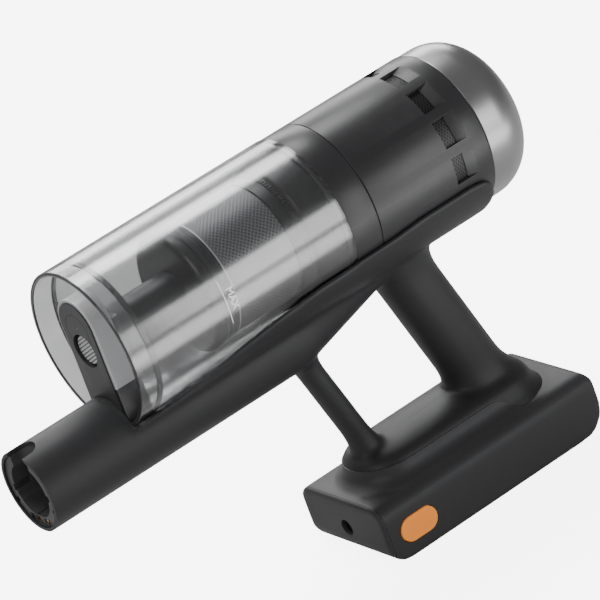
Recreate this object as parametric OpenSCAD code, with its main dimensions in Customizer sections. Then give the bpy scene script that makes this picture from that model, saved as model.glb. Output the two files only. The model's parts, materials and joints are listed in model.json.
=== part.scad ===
/* [Dust cup] */
// Outside diameter of the clear cup
cup_d = 100; // [98:0.5:102]
// Length of the clear part of the cup
cup_len = 157.8; // [150:0.2:165]
// Wall of the clear cup
cup_wall = 2.2; // [1.6:0.1:2.6]
// Depth of the recessed front plate behind the rim
front_recess = 14; // [12:0.5:16]
// Length of the dark ring behind the clear part
ring_len = 19.6; // [18:0.2:22]
// Half width of the round-topped front panel
panel_half_w = 17.5; // [16:0.5:19]
// Diameter of the cup release button
release_d = 19; // [16:0.5:20]

/* [Suction tube] */
// Outside diameter of the tube
tube_d = 50.8; // [50:0.2:51.6]
// Distance between the cup axis and the tube axis
tube_drop = 55.1; // [54.6:0.1:55.6]
// How far the tube runs ahead of the cup
tube_front = 64; // [60:1:68]
// Bore that takes the wand or a nozzle
socket_d = 34; // [32:0.5:35]

/* [Motor unit] */
// Outside diameter of the motor housing
housing_d = 99.2; // [98.6:0.1:99.6]
// Length of the motor housing
housing_len = 85.2; // [84:0.2:88]
// Length of the twist-off rear cap
cap_len = 37.4; // [36:0.2:40]
// Corner radius of the rear cap
cap_round = 26; // [22:1:27]
// Number of exhaust windows around the housing
vent_count = 12; // [10:2:12]
// Angle that one exhaust window covers
vent_angle = 20; // [16:1:21]

/* [Handle] */
// Angle by which the handle and the strut lean back
lean = 16.7; // [16:0.1:17.4]
// Width of the handle across the hand
handle_w = 34; // [32:1:35]
// Depth of the handle from front to back
handle_deep = 38; // [36:1:40]
// Diameter of the front strut
strut_d = 17; // [16:0.5:18]
// Wall of the frame shells
frame_wall = 2.5; // [2:0.1:2.8]

/* [Battery] */
// Length of the battery pack
battery_len = 166; // [164:0.2:167]
// Width of the battery pack
battery_w = 82; // [80:1:84]
// Height of the battery pack up to its deck
battery_h = 38.4; // [38:0.2:40]
// Number of cells lying side by side
cell_count = 6; // [5:1:6]
// Cell diameter
cell_d = 21.1; // [21:0.1:21.2]
// Cell length
cell_len = 70; // [68:1:70]

/* [Hidden] */
$fn = 96;
eps = 0.01;
big = 400;

// Stations along the tube, and the heights of the two axes
total_len = tube_front + cup_len + ring_len + housing_len + cap_len;
nozzle_x = -total_len / 2;
rim_x = nozzle_x + tube_front;
clear_end_x = rim_x + cup_len;
ring_end_x = clear_end_x + ring_len;
cap_x = ring_end_x + housing_len;
end_x = cap_x + cap_len;
tube_z = 149.5;
axis_z = tube_z + tube_drop;
cup_r = cup_d / 2;
tube_r = tube_d / 2;
socket_r = socket_d / 2;
seam = 0.3;

// Saddle in the frame that the cup and the housing lie in
saddle_r = cup_r + 0.4;
cradle_r = cup_r + 3;
saddle_end_x = cap_x - 0.6;
keel_tilt = 16;
keel_len = 76;

// Handle, strut and foot
grip_z = 97.6;
strut_x = rim_x + 134.2;
handle_x = rim_x + 220.8;
foot_front_x = rim_x + 130.5;
foot_rear_x = rim_x + 262;
foot_half_w = 25;
foot_z = 49.3;
foot_top_z = 57;
skirt_x = foot_rear_x - 27;

// Battery
battery_x = rim_x + 115;
deck_gap = 0.3;
collar_z = foot_z - deck_gap;
cell_pitch = cell_d + 0.2;
cell_z = 16.5;
first_cell_x = battery_x + battery_len - 18.1 - (cell_count - 1) * cell_pitch;
port_z = 18.6;
port_r = 5.3;
pill_x = battery_x + 24;
pill_z = 16.8;
pill_len = 26.6;
pill_h = 15.4;
pill_depth = 3;
split_x = battery_x + 5;
battery_wall = 2.2;
battery_room = 36.5;
holder_y = 24;

// Motor
motor_x = ring_end_x + 20;
motor_len = 46;
motor_r = 24;
shaft_r = 2.5;
bearing_r = 7;
impeller_x = ring_end_x + 8;
vent_x = cap_x - 27.6;
vent_len = 9;
vent_pitch = 360 / 13.2;
pod_r = 18;

// Cyclone
pipe_r = 15.5;
riser_x = rim_x + 11;
riser_len = 9;
latch_z = axis_z + 22;
press_z = axis_z - 7;
shoulder_x = rim_x + 53;
screen_x = rim_x + 84.6;
screen_len = 42.4;
screen_r = 36;
cone_end_x = clear_end_x - 0.8;
panel_top_z = axis_z + 15.5;

shell_dark = [0.24, 0.24, 0.25];
trim_dark = [0.15, 0.15, 0.16];
soft_black = [0.08, 0.08, 0.08];
smoke = [0.6, 0.62, 0.65, 0.4];
silver = [0.6, 0.6, 0.62];
steel = [0.75, 0.76, 0.78];
copper = [0.72, 0.42, 0.2];
board_green = [0.1, 0.32, 0.18];
pill_orange = [0.96, 0.6, 0.25];
cell_blue = [0.25, 0.45, 0.62];
filter_white = [0.9, 0.9, 0.87];

// A child drawn along +Z lies along +X from station x at height z
module along_x(x, z = axis_z) {
  translate([x, 0, z]) rotate([0, 90, 0]) children();
}

// A rod that runs across the object
module across(x, z, r, y1, y2) {
  translate([x, y1, z]) rotate([-90, 0, 0]) cylinder(h = y2 - y1, r = r);
}

// A round tube from station x1 to x2
module tube(x1, x2, r_out, r_in, z = axis_z) {
  along_x(x1, z) difference() {
    cylinder(h = x2 - x1, r = r_out);
    translate([0, 0, -1]) cylinder(h = x2 - x1 + 2, r = r_in);
  }
}

module rod(x1, x2, r, z = axis_z) {
  along_x(x1, z) cylinder(h = x2 - x1, r = r);
}

// Outline with two round ends
module stadium(len, r) {
  square([len - 2 * r, 2 * r], center = true);
  for (side = [-1, 1]) translate([side * (len / 2 - r), 0]) circle(r = r);
}

// Square corner piece that is cut away to leave a round corner
module corner_cut(x, z, r, way_x, way_z) {
  translate([x, z]) difference() {
    translate([way_x > 0 ? -1 : -r, way_z > 0 ? -1 : -r]) square([r + 1, r + 1]);
    translate([way_x * r, way_z * r]) circle(r = r);
  }
}

// Block that keeps the half space on one side, side = -1 or 1
module half_space(side) {
  translate([-big / 2, side > 0 ? 0 : -big, -big / 2]) cube([big, big, 2 * big]);
}

/* Frame */

// Parts that stand on the leaning axis of the handle or the strut
module leaning(x) {
  translate([x, 0, grip_z]) rotate([0, -lean, 0]) children();
}

module foot_outline(inset) {
  translate([(foot_front_x + foot_rear_x) / 2, 0])
    stadium(foot_rear_x - foot_front_x - 2 * inset, foot_half_w - inset);
}

// Upper edge of the cradle arms, seen from the side
module cradle_side() {
  lip = [[0, -44.4], [40, -36.5], [80, -28.6], [106, -25.2], [130, -23], [190, -20.1], [204, -18],
         [244, -18], [254, -21], [260, -29], [262, -40], [262, -80], [0, -80]];
  translate([rim_x, axis_z]) polygon(lip);
}

module cradle_arms() {
  intersection() {
    rod(rim_x, saddle_end_x, cradle_r);
    translate([0, cradle_r + 1, 0]) rotate([90, 0, 0]) linear_extrude(2 * cradle_r + 2) cradle_side();
  }
}

// Straight tube, and the slightly slimmer keel that rises from its end
module keel(r) {
  rod(nozzle_x, 4, r, tube_z);
  translate([0, 0, tube_z + 0.6]) rotate([0, 90 - keel_tilt, 0]) translate([0, 0, -8])
    cylinder(h = keel_len + 8, r = r - 0.5);
}

module frame_outside() {
  keel(tube_r);
  cradle_arms();
  leaning(strut_x) translate([0, 0, -48]) cylinder(h = 96, d = strut_d);
  leaning(strut_x) translate([0, 0, 24]) cylinder(h = 18, d1 = strut_d, d2 = strut_d + 20);
  leaning(strut_x) translate([0, 0, -44]) cylinder(h = 10, d1 = strut_d + 12, d2 = strut_d);
  leaning(handle_x) translate([0, 0, -50]) linear_extrude(122) stadium(handle_deep, handle_w / 2);
  translate([0, 0, foot_z]) linear_extrude(foot_top_z - foot_z) foot_outline(0);
  intersection() {
    translate([0, 0, battery_h + deck_gap]) linear_extrude(foot_z - battery_h) foot_outline(0);
    translate([skirt_x, -foot_half_w - 1, 0]) cube([60, 2 * foot_half_w + 2, foot_top_z]);
  }
}

module duct_space() {
  difference() {
    rod(nozzle_x - 1, 4, tube_r - frame_wall, tube_z);
    rod(rim_x - frame_wall, end_x, cradle_r);
  }
}

module keel_space() {
  difference() {
    translate([4, 0, tube_z + 1]) rotate([0, 90 - keel_tilt, 0])
      cylinder(h = keel_len - 8, r = tube_r - frame_wall - 0.4);
    rod(rim_x - frame_wall, end_x, cradle_r);
  }
}

module handle_space() {
  difference() {
    leaning(handle_x) translate([0, 0, -46]) linear_extrude(100)
      stadium(handle_deep - 2 * frame_wall, handle_w / 2 - frame_wall);
    rod(rim_x - frame_wall, end_x, cradle_r);
  }
}

module foot_space() {
  translate([0, 0, battery_h]) linear_extrude(foot_top_z - frame_wall - battery_h)
    foot_outline(frame_wall);
}

// Places of the screw bosses: along the tube, in the keel, the handle and the foot
boss_places = [[strut_x + 32, 143], [handle_x - 6, 118], [handle_x + 7, 74], [foot_front_x + 9, 53.2]];

module frame_body() {
  difference() {
    union() {
      difference() {
        frame_outside();
        duct_space();
        keel_space();
        handle_space();
        foot_space();
      }
      intersection() {
        for (p = boss_places) across(p[0], p[1], 4, -foot_half_w, foot_half_w);
        frame_outside();
      }
    }
    rod(rim_x - seam, ring_end_x + seam, saddle_r);
    rod(ring_end_x, end_x, housing_d / 2 + 0.02);
    along_x(nozzle_x - eps, tube_z) translate([-tube_r, 0, 0]) slot_cut();
    duct_window(0);
    translate([rim_x - 1.8, -4, axis_z - 45]) cube([3, 8, 5]);
    translate([handle_x - 30, -11, battery_h]) cube([36, 22, foot_z - battery_h + 5]);
    for (p = boss_places) across(p[0], p[1], 1.5, -6, foot_half_w + 1);
    for (p = boss_places) across(p[0], p[1], 3.1, boss_head(p) - 2.4, foot_half_w + 1);
  }
}

// Where the screw heads sit below the right-hand surface
function boss_head(p) = p[1] > 130 ? 20.5 : p[1] > 60 ? 14.5 : 19;

// U-shaped notch in the top of the nozzle end
module slot_cut() {
  translate([0, 0, 5]) rotate([0, 90, 0]) cylinder(h = 7.2, r = 8.5, center = true);
  translate([-3.6, -8.5, -1]) cube([7.2, 17, 6]);
}

// Window through which air leaves the duct and enters the riser
module duct_window(inset) {
  translate([riser_x + inset, -13.5 + inset, axis_z - 60])
    cube([riser_len - 2 * inset, 27 - 2 * inset, 20]);
}

module frame_left() {
  color(shell_dark) intersection() {
    frame_body();
    half_space(-1);
  }
}

module frame_right() {
  color(shell_dark) intersection() {
    frame_body();
    half_space(1);
  }
}

module frame_screws() {
  color(steel) for (p = boss_places) {
    difference() {
      across(p[0], p[1], 3, boss_head(p) - 2.3, boss_head(p));
      translate([p[0] - 2, boss_head(p) - 1.2, p[1] - 0.5]) cube([4, 2, 1]);
    }
    across(p[0], p[1], 1.4, -5, boss_head(p) - 2.3);
  }
}

/* Nozzle end and air duct */

module nozzle_collar() {
  color(trim_dark) difference() {
    rod(nozzle_x + 1.2, nozzle_x + 30, tube_r - frame_wall - 0.05, tube_z);
    rod(nozzle_x, nozzle_x + 31, socket_r, tube_z);
    for (side = [-1, 1]) translate([nozzle_x, side * socket_r - 1.6, tube_z - 2.2]) cube([9, 3.2, 4.4]);
    for (side = [-1, 1]) translate([0, side * 19.4, 0]) rod(nozzle_x, nozzle_x + 8, 1.6, tube_z - 9.6);
    along_x(nozzle_x - eps, tube_z) translate([-tube_r, 0, 0]) slot_cut();
    translate([nozzle_x, -11.2, tube_z - 22]) cube([12.2, 22.4, 5.6]);
  }
}

module contact_block() {
  color(soft_black) difference() {
    intersection() {
      translate([nozzle_x + 2, -11, tube_z - 21.9]) cube([10, 22, 5.2]);
      rod(nozzle_x, nozzle_x + 20, tube_r - frame_wall - 0.1, tube_z);
    }
    rod(nozzle_x, nozzle_x + 31, socket_r + 0.1, tube_z);
    for (side = [-1, 1]) translate([nozzle_x + 1, side * 5.4 - 4, tube_z - 21]) cube([3, 8, 2.6]);
  }
}

module contact_pins() {
  color(copper) for (y = [-7.2, -3.6, 3.6, 7.2])
    translate([nozzle_x + 2.6, y - 0.8, tube_z - 20.6]) cube([1.4, 1.6, 1.8]);
}

module intake_duct() {
  duct_r = socket_r + 3.4;
  duct_x = nozzle_x + 30;
  color(trim_dark) difference() {
    intersection() {
      rod(duct_x, rim_x + 26, duct_r, tube_z);
      difference() {
        rod(duct_x - 1, rim_x + 27, duct_r + 1, tube_z);
        rod(rim_x - frame_wall - 0.1, rim_x + 40, cradle_r + 0.05);
      }
    }
    difference() {
      rod(duct_x - 1, rim_x + 24, socket_r + 1.4, tube_z);
      rod(rim_x - frame_wall - 2.1, rim_x + 40, cradle_r + 2);
    }
    duct_window(0);
  }
}

module duct_seal() {
  color(soft_black) intersection() {
    difference() {
      duct_window(0.05);
      duct_window(1.2);
      rod(rim_x, rim_x + 30, saddle_r);
    }
    translate([rim_x, -20, axis_z - cup_r - 3]) cube([40, 40, 6]);
  }
}

module power_leads() {
  color(soft_black) for (side = [-1, 1])
    leaning(handle_x) translate([9.5, 4 * side, -42]) cylinder(h = 80, r = 1.3);
}

module terminal_block() {
  color(soft_black) translate([handle_x - 29.9, -10.9, battery_h + 1]) difference() {
    cube([35.8, 21.8, 10]);
    for (i = [0:4]) translate([4 + 6 * i, 4, -1]) cube([3, 14, 8]);
  }
}

/* Motor unit */

module vent_windows(depth) {
  for (i = [0:vent_count - 1]) along_x(vent_x)
    rotate([0, 0, 180 + (i - (vent_count - 1) / 2) * vent_pitch])
      rotate([0, 0, -vent_angle / 2])
        rotate_extrude(angle = vent_angle) translate([housing_d / 2 - depth, 0]) square([depth + 1, vent_len]);
}

module vent_scoops() {
  scoop_len = 7.2;
  for (i = [0:vent_count - 1]) along_x(vent_x + vent_len - eps)
    rotate([0, 0, 180 + (i - (vent_count - 1) / 2) * vent_pitch])
      rotate([0, 0, -vent_angle / 2]) rotate_extrude(angle = vent_angle)
        translate([housing_d / 2, 0]) polygon([[-1.8, 0], [0.5, 0], [0.5, scoop_len], [0, scoop_len]]);
}

module motor_housing() {
  color(shell_dark) difference() {
    tube(ring_end_x + seam, cap_x - seam / 2, housing_d / 2, housing_d / 2 - 2.6);
    vent_windows(3.2);
    vent_scoops();
  }
}

module intake_bulkhead() {
  color(trim_dark) difference() {
    rod(ring_end_x + 1.6, ring_end_x + 5, housing_d / 2 - 2.65);
    rod(ring_end_x, ring_end_x + 6, 20);
    for (a = [0:60:300]) along_x(ring_end_x + 1) rotate([0, 0, a]) translate([32, 0, 0]) cylinder(h = 1.6, r = 6);
  }
}

module cup_gasket() {
  color(soft_black) tube(ring_end_x + 0.25, ring_end_x + 1.6, 27, 22);
}

module vent_cone() {
  color(trim_dark) {
    along_x(vent_x - 6) difference() {
      cylinder(h = 22, r1 = 30, r2 = 45);
      translate([0, 0, -eps]) cylinder(h = 22 + 2 * eps, r1 = 28, r2 = 43);
    }
    for (i = [0:11]) along_x(vent_x - 5.9) rotate([0, 0, 30 * i])
      rotate([90, 0, 0]) linear_extrude(1.4, center = true) polygon([[29, 0], [32.4, 0], [46, 20], [43.5, 21]]);
  }
}

module motor_mount_front() {
  color(soft_black) tube(motor_x + 2, motor_x + 8, housing_d / 2 - 2.7, motor_r + 2.05);
}

module motor_mount_rear() {
  color(soft_black) tube(motor_x + motor_len - 10, motor_x + motor_len - 5, 28.8, motor_r + 2.05);
}

module motor_can() {
  color(steel) {
    tube(motor_x, motor_x + motor_len, motor_r + 2, motor_r);
    difference() {
      rod(motor_x + motor_len - 3, motor_x + motor_len, motor_r + eps);
      rod(motor_x, motor_x + motor_len + 1, bearing_r + 0.01);
      for (a = [0:60:300]) along_x(motor_x) rotate([0, 0, a]) translate([16, 0, 0]) cylinder(h = 60, r = 4);
    }
  }
}

module diffuser() {
  color(steel) {
    difference() {
      rod(motor_x - 2, motor_x + 4, motor_r - 0.01);
      rod(motor_x - 3, motor_x + 5, bearing_r + 0.01);
      tube(motor_x - 3, motor_x + 5, 22.5, 16);
    }
    for (a = [0:30:330]) along_x(motor_x - 2) rotate([0, 0, a]) translate([15.5, -0.5, 0]) cube([7.5, 1, 6]);
    tube(impeller_x - 1, motor_x, motor_r + 2, motor_r);
  }
}

module stator() {
  core_x = motor_x + 12;
  color(copper) difference() {
    union() {
      tube(core_x, core_x + 18, motor_r - 0.2, 19);
      for (a = [0:90:270]) along_x(core_x) rotate([0, 0, a]) translate([9.6, -3, 0]) cube([10, 6, 18]);
      for (a = [0:90:270]) along_x(core_x - 2) rotate([0, 0, a]) translate([12, -5, 0]) cube([6, 10, 22]);
    }
    rod(core_x - 3, core_x + 25, 9);
  }
}

module motor_bearings() {
  color(steel) {
    tube(motor_x - 2, motor_x + 3, bearing_r, shaft_r + 0.05);
    tube(motor_x + motor_len - 3, motor_x + motor_len + 2, bearing_r, shaft_r + 0.05);
  }
}

module rotor_shaft() {
  color(steel) rod(impeller_x, motor_x + motor_len + 3, shaft_r);
}

module rotor_magnet() {
  color(trim_dark) tube(motor_x + 11, motor_x + 31, 8.2, shaft_r);
}

module impeller() {
  color(silver) {
    along_x(impeller_x) difference() {
      cylinder(h = 9, r1 = 8, r2 = 21);
      translate([0, 0, -1]) cylinder(h = 12, r = shaft_r);
    }
    for (a = [0:40:320]) along_x(impeller_x) rotate([0, 0, a])
      rotate([90, 0, 0]) linear_extrude(1, center = true) polygon([[7, 0], [16, 0], [22, 5], [22, 9], [20, 9]]);
  }
}

module control_board() {
  color(board_green) difference() {
    rod(cap_x - 8, cap_x - 6.4, 26);
    rod(cap_x - 9, cap_x - 5, 7);
  }
}

module control_pod() {
  pod_x = cap_x - 6.4;
  color(trim_dark) {
    difference() {
      rod(pod_x, end_x - 1.4, pod_r);
      rod(pod_x - 1, end_x - 5, pod_r - 2);
      rod(end_x - 3, end_x, pod_r - 1.6);
      for (y = button_ys) translate([0, y, 0]) rod(end_x - 8, end_x, 3.7, axis_z - 9);
    }
    difference() {
      tube(pod_x, pod_x + 3, housing_d / 2 - 2.65, pod_r - eps);
      for (a = [0:30:330]) along_x(pod_x - 1) rotate([0, 0, a]) translate([31, 0, 0]) cylinder(h = 6, r = 6);
    }
  }
}

button_ys = [-6, 6];

module display_lens() {
  color([0.05, 0.05, 0.06]) difference() {
    rod(end_x - 3, end_x - 1.4, pod_r - 1.65);
    for (y = button_ys) translate([0, y, 0]) rod(end_x - 8, end_x, 3.7, axis_z - 9);
  }
}

module round_button(y) {
  translate([0, y, 0]) rod(end_x - 7.5, end_x - 0.6, 3.4, axis_z - 9);
}

module power_button() {
  color(silver) round_button(button_ys[0]);
}

module mode_button() {
  color(silver) round_button(button_ys[1]);
}

// Half section of the cap's outer skin: radius against distance from the seam
module cap_section(r, len, round, crown) {
  difference() {
    union() {
      square([r, len - round]);
      square([r - round, len - crown]);
      translate([r - round, len - round]) circle(r = round - crown / 2);
      translate([r - round, len - round - 1]) circle(r = round - crown / 2);
    }
    translate([-big, -big]) square([big, 3 * big]);
    translate([-1, -big]) square([big, big]);
  }
}

module rear_cap() {
  r = housing_d / 2 - 0.4;
  color(silver) difference() {
    along_x(cap_x + seam / 2) rotate_extrude() cap_section(r, cap_len - seam / 2, cap_round, 0);
    along_x(cap_x) rotate_extrude() cap_section(r - 2.4, cap_len - 3, cap_round - 2, 0);
    rod(cap_x - 1, end_x + 1, pod_r + seam);
  }
}

module post_filter() {
  color(filter_white) along_x(cap_x + 3) difference() {
    cylinder(h = 14, r = 42);
    translate([0, 0, -1]) cylinder(h = 16, r = pod_r + 2);
    for (i = [0:35]) rotate([0, 0, 10 * i]) translate([39.5, 0, -1]) cylinder(h = 16, r = 1.6, $fn = 4);
  }
}

module cap_seal() {
  color(soft_black) tube(cap_x + 3, cap_x + 6, housing_d / 2 - 2.8, 42);
}

/* Dust cup */

module panel_outline(grow) {
  half_w = panel_half_w + grow;
  translate([panel_top_z - axis_z, 0]) circle(r = half_w);
  translate([-60, -half_w]) square([60 + panel_top_z - axis_z, 2 * half_w]);
}

// The outline's first axis points up, the second across
module panel_block(x1, x2, grow) {
  translate([x1, 0, axis_z]) rotate([0, 90, 0]) mirror([1, 0, 0]) linear_extrude(x2 - x1)
    panel_outline(grow);
}

module cup_shell() {
  plate = 2;
  clear_wall = 1.8;
  color(smoke) difference() {
    intersection() {
      union() {
        tube(rim_x, clear_end_x, cup_r, cup_r - cup_wall);
        rod(rim_x + front_recess, rim_x + front_recess + plate, cup_r - cup_wall + eps);
        panel_block(rim_x + 0.6, rim_x + front_recess + eps, clear_wall + 0.25);
      }
      rod(rim_x, clear_end_x, cup_r);
    }
    panel_block(rim_x - 1, rim_x + front_recess, 0.25);
    rod(rim_x + front_recess - 1, rim_x + front_recess + 3, pipe_r + 0.05);
    riser_block(0.1);
    rod(clear_end_x - 3, clear_end_x + 1, cup_r - cup_wall + 1);
  }
}

module riser_block(grow) {
  translate([riser_x - grow, -15 - grow, axis_z - cup_r - 1])
    cube([riser_len + 2 * grow, 30 + 2 * grow, cup_r + 17 + grow]);
}

module front_panel() {
  color(shell_dark) difference() {
    union() {
      intersection() {
        panel_block(rim_x + 0.1, rim_x + 2.4, 0);
        rod(rim_x, rim_x + 8, cup_r - 0.1);
      }
      tube(rim_x + 2, rim_x + 4.8, release_d / 2 + 2.6, release_d / 2 + 0.4);
      for (side = [-1, 1]) translate([rim_x + 2, side * 8 - 1, latch_z - 3]) cube([6, 2, 6]);
    }
    rod(rim_x - 1, rim_x + 4, release_d / 2 + 1.1);
    rod(rim_x - 1, rim_x + 4, 0.9, axis_z + 14.5);
    across(rim_x + 5.9, latch_z, 0.75, -10, 10);
    translate([rim_x - 1, -4, axis_z - 46]) cube([5, 8, 7]);
  }
}

module inlet_riser() {
  wall = 1.2;
  color(trim_dark) difference() {
    intersection() {
      riser_block(0);
      rod(rim_x, rim_x + 30, cup_r);
    }
    translate([riser_x + wall, -15 + wall, axis_z - cup_r - 2])
      cube([riser_len - 2 * wall, 30 - 2 * wall, cup_r + 18 - wall]);
    rod(riser_x + riser_len - 2, riser_x + riser_len + 1, pipe_r - 1.7);
  }
}

module inlet_pipe() {
  color(trim_dark) difference() {
    union() {
      tube(rim_x + 20, shoulder_x + 2, pipe_r, pipe_r - 1.5);
      tube(rim_x + 20, rim_x + 22, pipe_r + 1.5, pipe_r - 1);
    }
    translate([shoulder_x - 22, -pipe_r - 1, axis_z - pipe_r - 1]) cube([14, pipe_r, 2 * pipe_r + 2]);
  }
}

module cyclone_shoulder() {
  color(trim_dark) along_x(shoulder_x) rotate_extrude() difference() {
    union() {
      translate([pipe_r - 2, 0]) square([18, 31.6]);
      translate([31, 7.5]) circle(r = 7.5);
      translate([31, 7.5]) square([7.5, 24.1]);
    }
    translate([0, -eps]) square([pipe_r + 0.05, 2.1]);
    translate([0, 2]) square([29, 40]);
    translate([0, 10]) square([36.2, 40]);
  }
}

module mesh_screen() {
  color([0.5, 0.5, 0.52]) tube(screen_x, screen_x + screen_len, screen_r, screen_r - 0.8);
}

module cyclone_cone() {
  color(trim_dark) {
    along_x(screen_x) difference() {
      cylinder(h = screen_len, r1 = 18, r2 = 26);
      translate([0, 0, -1]) cylinder(h = screen_len + 2, r1 = 16, r2 = 24);
    }
    tube(screen_x + screen_len, screen_x + screen_len + 10, screen_r + 0.6, 24);
    tube(screen_x + screen_len + 10, cone_end_x, screen_r - 4, 24);
  }
}

module cup_rear_ring() {
  color(trim_dark) {
    tube(clear_end_x, ring_end_x, housing_d / 2, housing_d / 2 - 4);
    tube(clear_end_x - 2.9, clear_end_x + 1, cup_r - cup_wall + 0.95, cup_r - cup_wall - 1);
    difference() {
      rod(clear_end_x, clear_end_x + 2, housing_d / 2 - 3.9);
      rod(clear_end_x - 1, clear_end_x + 3, screen_r - 6);
    }
  }
}

module pre_filter() {
  color(filter_white) difference() {
    rod(clear_end_x + 2.2, ring_end_x - 0.8, housing_d / 2 - 4.3);
    for (i = [0:8]) translate([ring_end_x - 4, -big / 2, axis_z - 37 + 9 * i]) cube([5, big, 2]);
  }
}

module release_button() {
  r = release_d / 2;
  color(silver) {
    rod(rim_x + 2, rim_x + 3.6, r);
    translate([rim_x + 3.5, -2, press_z - 1]) cube([1.6, 4, 2]);
    intersection() {
      along_x(rim_x + 1.6) rotate([0, 0, 27])
        for (i = [-4:4]) translate([2 * i - 0.5, -12, 0]) cube([1, 24, 0.6]);
      rod(rim_x, rim_x + 3, r - 1);
    }
  }
}

module release_spring() {
  color(steel) tube(rim_x + 3.6, riser_x - 0.1, 4.2, 3.2);
}

// Plate that hangs from its pin, with a hole for the spring and a nib at its lower end
module latch_lever() {
  color(silver) difference() {
    union() {
      translate([rim_x + 5.2, -6, axis_z - 12]) cube([1.4, 12, 34]);
      translate([rim_x + 5.2, -3, axis_z - 44]) cube([1.4, 6, 33]);
      translate([rim_x + 0.2, -3, axis_z - 44]) cube([6, 6, 2.5]);
      across(rim_x + 5.9, latch_z, 1.8, -6, 6);
    }
    across(rim_x + 5.9, latch_z, 0.8, -7, 7);
    rod(rim_x + 4, rim_x + 8, 5);
  }
}

module latch_pin() {
  color(steel) across(rim_x + 5.9, latch_z, 0.75, -9.5, 9.5);
}

/* Battery */

module battery_side(inset) {
  x1 = inset;
  x2 = battery_len - inset;
  z2 = battery_h - inset;
  difference() {
    translate([x1, inset]) square([x2 - x1, z2 - inset]);
    corner_cut(x1, inset, 15 - inset, 1, 1);
    corner_cut(x2, inset, 25 - inset, -1, 1);
    corner_cut(x2, z2, 12 - inset, -1, -1);
    corner_cut(x1, z2, 4 - inset, 1, -1);
  }
}

// Points along a round corner
function arc_points(y, z, r, from, to, steps = 4) =
  [for (i = [0:steps]) let(a = from + (to - from) * i / steps) [y + r * cos(a), z + r * sin(a)]];

module battery_end(inset) {
  half_w = battery_w / 2 - inset;
  top = battery_h - inset;
  low_r = 7 - inset;
  top_r = 9 - inset;
  polygon(concat(
    arc_points(-half_w + low_r, inset + low_r, low_r, 180, 270),
    arc_points(half_w - low_r, inset + low_r, low_r, 270, 360),
    arc_points(half_w - top_r, top - top_r, top_r, 0, 90),
    arc_points(-half_w + top_r, top - top_r, top_r, 90, 180)));
}

module battery_block(inset) {
  intersection() {
    translate([battery_x, battery_w, 0]) rotate([90, 0, 0]) linear_extrude(2 * battery_w) battery_side(inset);
    translate([battery_x - 1, 0, 0]) rotate([90, 0, 90]) linear_extrude(battery_len + 2) battery_end(inset);
  }
}

module pill_cut(side, grow) {
  translate([pill_x, side * (battery_w / 2 + 1), pill_z]) rotate([side * 90, 0, 0])
    linear_extrude(8) stadium(pill_len + 2 * grow, pill_h / 2 + grow);
}

// Room inside the pack
module battery_space() {
  translate([battery_x, battery_room, 0]) rotate([90, 0, 0]) linear_extrude(2 * battery_room)
    battery_side(battery_wall);
}

module battery_case() {
  color(shell_dark) difference() {
    union() {
      battery_block(0);
      collar_block();
    }
    battery_space();
    translate([battery_x - 1, -battery_w, -1]) cube([split_x - battery_x + 1, 2 * battery_w, 80]);
    for (side = [-1, 1]) pill_cut(side, 0.25);
    translate([handle_x - 31, -12, battery_h - 3]) cube([38, 24, 20]);
    for (i = [-1:1]) translate([foot_rear_x + 6.5, 5 * i, battery_h - 3]) cylinder(h = 4, r = 0.9);
  }
}

module collar_block() {
  intersection() {
    translate([0, 0, battery_h - 1]) linear_extrude(collar_z - battery_h + 1) foot_outline(0);
    translate([battery_x, -60, 0]) cube([skirt_x - seam - battery_x, 120, 80]);
  }
}

module battery_front() {
  color(shell_dark) difference() {
    intersection() {
      battery_block(0);
      translate([battery_x - 1, -battery_w, -1]) cube([split_x - battery_x + 1, 2 * battery_w, 80]);
    }
    intersection() {
      battery_space();
      translate([battery_x + 2.6, -battery_w, -1]) cube([20, 2 * battery_w, 80]);
    }
    rod(battery_x - 1, battery_x + 4, port_r, port_z);
  }
}

module battery_cells() {
  color(cell_blue) for (i = [0:cell_count - 1])
    across(first_cell_x + i * cell_pitch, cell_z, cell_d / 2, -cell_len / 2, cell_len / 2);
}

module cell_holder() {
  plate = 6;
  rear_x = first_cell_x + (cell_count - 0.55) * cell_pitch;
  color(soft_black) difference() {
    for (side = [-1, 1]) translate([pill_x - 5, side * holder_y - plate / 2, 9])
      cube([rear_x - pill_x - plate, plate, 19]);
    battery_cell_holes();
  }
}

module battery_cell_holes() {
  for (i = [0:cell_count - 1])
    across(first_cell_x + i * cell_pitch, cell_z, cell_d / 2 + 0.02, -cell_len, cell_len);
}

module cell_straps() {
  color(steel) for (side = [-1, 1]) for (i = [0:2:cell_count - 2])
    translate([first_cell_x + i * cell_pitch - 6 + (side > 0 ? 0 : cell_pitch * (i < cell_count - 2 ? 1 : 0)),
               side > 0 ? cell_len / 2 : -cell_len / 2 - 0.4, cell_z - 4])
      cube([cell_pitch * (side < 0 && i >= cell_count - 2 ? 0 : 1) + 12, 0.4, 8]);
}

module battery_board() {
  color(board_green) {
    translate([first_cell_x - 8, -24, 29.5]) cube([128, 48, 1.6]);
    for (i = [0:5]) translate([first_cell_x + 18 * i, -18, 31.1]) cube([8, 8, 1.4]);
    for (i = [0:3]) translate([first_cell_x + 4 + 24 * i, 8, 31.1]) cube([5, 4, 1]);
  }
}

module charge_socket() {
  color(soft_black) {
    difference() {
      rod(battery_x + 2.7, battery_x + 15, 6.6, port_z);
      rod(battery_x, battery_x + 4, port_r, port_z);
      rod(battery_x + 3.9, battery_x + 13, 2.8, port_z);
    }
    rod(battery_x + 7, battery_x + 13.5, 1, port_z);
  }
}

module charge_lights() {
  color([0.9, 0.9, 0.92]) for (i = [-1:1])
    translate([foot_rear_x + 6.5, 5 * i, battery_h - 2.1]) cylinder(h = 2.1, r = 0.9);
}

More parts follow.
